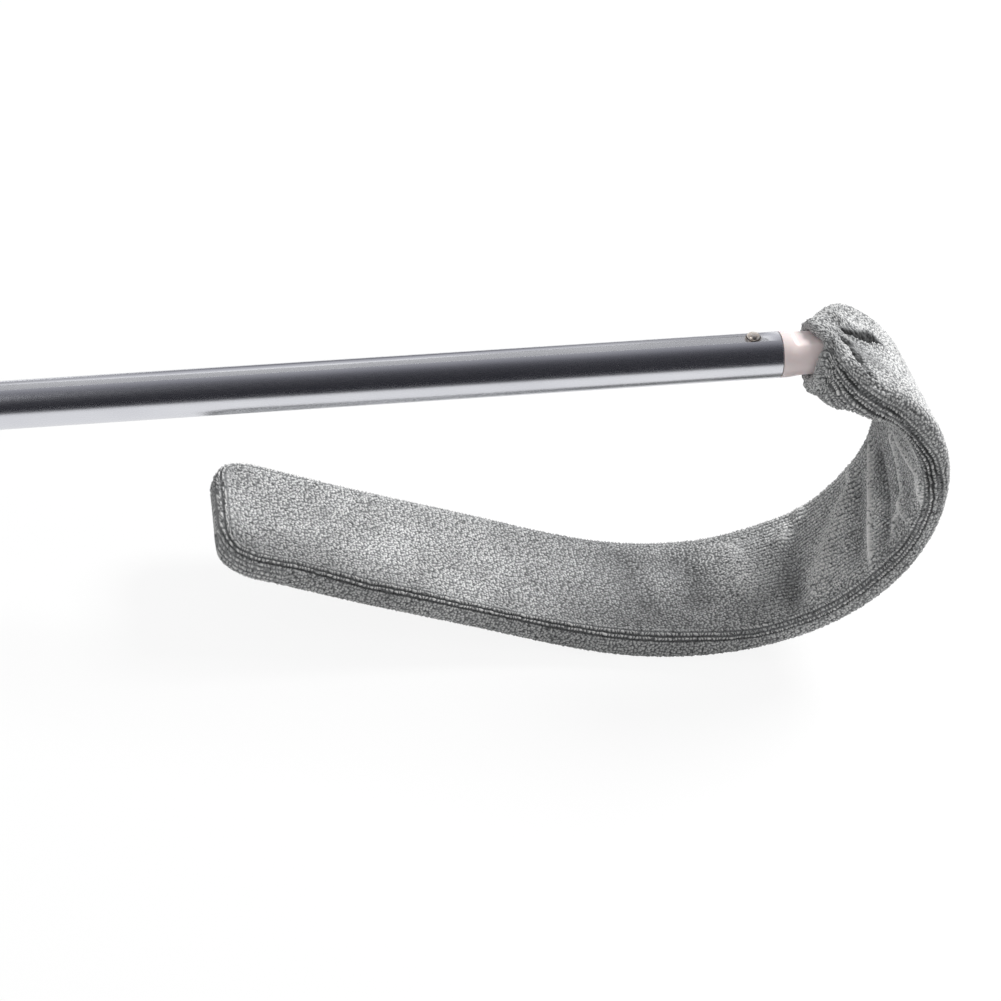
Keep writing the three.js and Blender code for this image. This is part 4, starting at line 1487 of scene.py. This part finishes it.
def cloth_piece(name, first, last, walls, replaced, shut_end=False):
    """A closed piece of the skin from one ring to another, and inner walls that lead back."""
    outer = last - first + 1
    total = outer + len(walls)
    points = np.concatenate([pile_points[first:last + 1], np.array(walls)])
    directions = np.concatenate([pile_normals[first:last + 1], wall_directions(walls)])
    index = np.arange(total * ring_sides).reshape(total, ring_sides)
    ring = np.repeat(np.arange(total), ring_sides)
    if shut_end:
        mirror = (ring_sides - np.arange(ring_sides)) % ring_sides
        for shut_ring in (outer - 1, outer):
            points[shut_ring] = (points[shut_ring] + points[shut_ring][mirror]) / 2
            index[shut_ring] = np.minimum(index[shut_ring], index[shut_ring][mirror])
        ring = ring[ring != outer - 1]
    place = np.tile(np.arange(ring_sides), len(ring) // ring_sides)
    next_ring = (ring + 1) % total
    next_place = (place + 1) % ring_sides
    corners = [index[ring, place], index[ring, next_place],
               index[next_ring, next_place], index[next_ring, place]]
    used, faces = np.unique(np.stack(corners, axis=-1), return_inverse=True)
    faces = faces.reshape(-1, 4)
    points = points.reshape(-1, 3)[used]
    mesh = bpy.data.meshes.new(name)
    mesh.from_pydata(points, [], faces.tolist())
    for key, values in skin_values.items():
        kept = np.concatenate([values[first:last + 1]] + [values[last:last + 1]] * len(walls))
        keep_attribute(mesh, key, kept.reshape(total * ring_sides, -1)[used])
    lay_out(mesh, ring, place, total)
    if mesh_volume(points, faces) < 0:
        mesh.flip_normals()
    mesh.shade_smooth()
    mesh.normals_split_custom_set_from_vertices(directions.reshape(-1, 3)[used])
    mesh.materials.append(terry)
    piece = in_scene(name, mesh)
    if replaced:
        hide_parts(replaced)
    print(name, "faces", len(mesh.polygons))
    return piece


# %% Mouth, strips and tip
tip_walls = 12
cut_rings = [ring_of(cut) for cut in cuts]
mouth = cloth_piece("terry_mouth", 0, cut_rings[0], [wall_ring(cuts[0])], "sleeve_cuff")
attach(mouth, "handle")

for hinge in range(1, link_count + 1):
    first, last = cut_rings[hinge - 1:hinge + 1]
    near_cut, far_cut = cuts[hinge - 1:hinge + 1]
    wall_count = 2 + int((far_cut - near_cut) // wall_step)
    walls = [wall_ring(u) for u in np.linspace(far_cut, near_cut, wall_count)]
    strip = cloth_piece(f"terry_strip_{hinge}", first, last, walls, f"sleeve_section_{hinge}")
    # The turning stretch lies between the two cut ends, seen along the head at the hinge.
    turn = float(turn_at(hinge_at(hinge)))
    heading = np.array([math.cos(turn), 0, -math.sin(turn)]) @ handle_axes
    pivot = np.array(joints[f"head_bend_{hinge}"]["pos_m"])
    before = np.concatenate([pile_points[first], walls[-1]])
    beyond = np.concatenate([pile_points[last], walls[0]])
    start = float(((before - pivot) @ heading).max())
    end = float(((beyond - pivot) @ heading).min())
    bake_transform(strip)
    print("turns over", round((end - start) / MM, 1), "mm")

walls = [wall_ring(head_end - sleeve_wall, 0.0)]
walls += [wall_ring(u) for u in np.linspace(head_end - 2 * sleeve_wall, cuts[-1], tip_walls)]
tip = cloth_piece("terry_tip", cut_rings[-1], ring_count - 1, walls, None, shut_end=True)
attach(tip, f"head_link_{link_count}")

# %% [markdown]
# ## The elastic in the hem
#
# A narrow ribbed elastic runs inside the rolled hem and holds the sleeve on the ferrule. It is
# all but hidden by the cloth. A curve with a flat bevel could make it, but the band's section
# would turn in the corners. Swept by rings, it always faces outwards.

# %% Elastic
elastic_half_width = 1.8
elastic_half_thickness = 0.45
elastic_gap = 1.3
elastic_inset = 3.6
rib_count = 6
rib_height = 0.12
section_sides = 48
width_squareness = 0.35
thickness_squareness = 0.5
# The webbing's threads are finer, and are drawn as coarse as they need to show.
weave_size = 0.4
weave_depth = 0.06


def squared(wave, power):
    """A sine or cosine with fuller tops, so that a circle turns into a squarer section."""
    return np.sign(wave) * np.abs(wave) ** power


section = np.linspace(0, math.tau, section_sides, endpoint=False)
across_share = squared(np.cos(section), width_squareness)
across_band = elastic_half_width * across_share
thick = elastic_half_thickness * squared(np.sin(section), thickness_squareness)
thick = thick + rib_height * np.cos(across_share * rib_count * math.pi) * np.sign(thick)
band = np.stack(bar_outline(elastic_gap))
band_side, band_out = band[:, :, None] + (band / np.hypot(*band))[:, :, None] * thick
band_line = rim_u[:, None] + elastic_inset + across_band
band_points = np.stack([band_line, band_side, band_out], axis=-1)


def elastic_webbing():
    """Woven rubber and polyester, off-white, with fine ribs along it."""
    material, tree = new_material("elastic_webbing")
    weave = grain(tree, weave_size)
    colour = add_node(tree, "ShaderNodeValToRGB", [weave], [(0.3, "d6d3cc"), (0.7, "f0eeea")])
    bump = add_node(tree, "ShaderNodeBump", {"Height": weave, "Distance": weave_depth * MM})
    webbing = add_node(tree, "ShaderNodeBsdfPrincipled", {
        "Base Color": colour, "Roughness": 0.85, "Normal": bump})
    add_node(tree, "ShaderNodeOutputMaterial", [webbing])
    return material


band_faces = ring_faces(ring_sides, section_sides, True)
elastic = new_piece("hem_elastic", band_points.reshape(-1, 3), band_faces, elastic_webbing(),
                    "handle", "elastic_web", "cuff_elastic")
print("elastic faces", len(elastic.data.polygons))

# %% [markdown]
# ## Floor, world and lamps
#
# A pale paper sweep lies under the object, white to the camera. The studio behind and above the
# object is bright and the room in front of it is dark. A polished tube shows that as a dark band
# low on its near side, between a bright top and a bright foot. Mirrored, the paper is bright near
# the object and dark towards the camera. A picture of a studio could light the scene as well. A
# ramp of greys over the direction is enough, and each grey can be matched to the tube.

# %% Floor
floor_half = 3.0
paper_glow = 0.9
glow_near = -0.36
glow_far = -0.62
white = linear("ffffff")
paper_colour = linear("d8d8d8")

corners = [(-1, -1), (1, -1), (1, 1), (-1, 1)]
floor_mesh = bpy.data.meshes.new("studio_floor")
floor_mesh.from_pydata([(x * floor_half, y * floor_half, 0) for x, y in corners], [], [(0, 1, 2, 3)])
floor = in_scene("studio_floor", floor_mesh)

paper, tree = new_material("pale_paper_sweep")
rays = add_node(tree, "ShaderNodeLightPath").outputs
place = add_node(tree, "ShaderNodeTexCoord").outputs["Object"]
depth = add_node(tree, "ShaderNodeSeparateXYZ", [place]).outputs["Y"]
nearness = add_node(tree, "ShaderNodeMapRange", {
    "Value": depth, "From Min": glow_far, "From Max": glow_near}, interpolation_type="SMOOTHSTEP")
paper_tone = add_node(tree, "ShaderNodeValToRGB", [nearness], [(0.0, "2c2c34"), (1.0, "f4f4f4")])
matte = add_node(tree, "ShaderNodeBsdfDiffuse", {"Color": paper_colour})
glowing = add_node(tree, "ShaderNodeEmission", {"Color": white})
glow_share = add_node(tree, "ShaderNodeMath", [rays["Is Camera Ray"], paper_glow],
                      operation="MULTIPLY")
seen = add_node(tree, "ShaderNodeMixShader", [glow_share, matte, glowing])
mirrored = add_node(tree, "ShaderNodeEmission", {"Color": paper_tone})
surface = add_node(tree, "ShaderNodeMixShader", [rays["Is Glossy Ray"], seen, mirrored])
add_node(tree, "ShaderNodeOutputMaterial", [surface])
floor_mesh.materials.append(paper)
print("floor", 2 * floor_half, "m wide")

# %% World
fill_strength = 0.54
wall_colour = linear("b4b4b6")
wall_start = 0.4
wall_full = 0.85
# The room from the camera's side, up over the object and down behind it, in shares of a turn.
room_tones = [(0.49, "26262c"), (0.6, "2a2a30"), (0.66, "38383e"), (0.71, "58585e"), (0.76, "8c8c92"),
              (0.82, "b2b2b6"), (0.89, "d2d2d6"), (0.95, "f6f6f6"), (1.0, "ffffff")]

world = bpy.data.worlds.new("soft_studio")
bpy.context.scene.world = world
world.use_nodes = True
tree = world.node_tree
tree.nodes.clear()
rays = add_node(tree, "ShaderNodeLightPath").outputs
look = add_node(tree, "ShaderNodeTexCoord").outputs["Generated"]
heading = add_node(tree, "ShaderNodeSeparateXYZ", [look]).outputs
behind = add_node(tree, "ShaderNodeMath", [heading["Y"], -1.0], operation="MULTIPLY")
height = add_node(tree, "ShaderNodeMath", [heading["Z"], behind], operation="ARCTAN2")
height_share = add_node(tree, "ShaderNodeMapRange", {
    "Value": height, "From Min": -math.pi, "From Max": math.pi})
sideways = add_node(tree, "ShaderNodeMath", [heading["X"]], operation="ABSOLUTE")
side_share = add_node(tree, "ShaderNodeMapRange", {
    "Value": sideways, "From Min": wall_start, "From Max": wall_full},
    interpolation_type="SMOOTHSTEP")
tones = add_node(tree, "ShaderNodeValToRGB", [height_share], room_tones)
room = add_node(tree, "ShaderNodeMix", {"Factor": side_share, "A": tones, "B": wall_colour},
                data_type="RGBA")
fill = add_node(tree, "ShaderNodeBackground", {"Color": white, "Strength": fill_strength})
mirrored = add_node(tree, "ShaderNodeBackground", {"Color": room})
plain = add_node(tree, "ShaderNodeBackground", {"Color": white})
sky = add_node(tree, "ShaderNodeMixShader", [rays["Is Glossy Ray"], fill, mirrored])
sky = add_node(tree, "ShaderNodeMixShader", [rays["Is Camera Ray"], sky, plain])
add_node(tree, "ShaderNodeOutputWorld", [sky])
print("world", world.name)

# %% Lamps
lamp_aim = (0.2, 0, 0.1)
key_place = (1.35, 0.6, 1.3)
key_size = 0.7
key_watts = 48
fill_place = (-1.0, -0.6, 1.3)
fill_size = 0.9
fill_watts = 5


def soft_lamp(name, place, size, watts, mirrored):
    data = bpy.data.lights.new(name, "AREA")
    data.shape = "DISK"
    data.size = size
    data.energy = watts
    lamp = in_scene(name, data)
    lamp.location = place
    lamp.visible_glossy = mirrored
    lamp.rotation_euler = (Vector(lamp_aim) - Vector(place)).to_track_quat("-Z", "Y").to_euler()


# The key stands high on the right, behind the object. It isn't mirrored, because a polished
# tube would show it as a hard spot.
soft_lamp("key_softbox", key_place, key_size, key_watts, False)
soft_lamp("fill_softbox", fill_place, fill_size, fill_watts, True)
print("lamps of", key_watts, "and", fill_watts, "watts")
bpy.context.scene.view_settings.view_transform = "Standard"
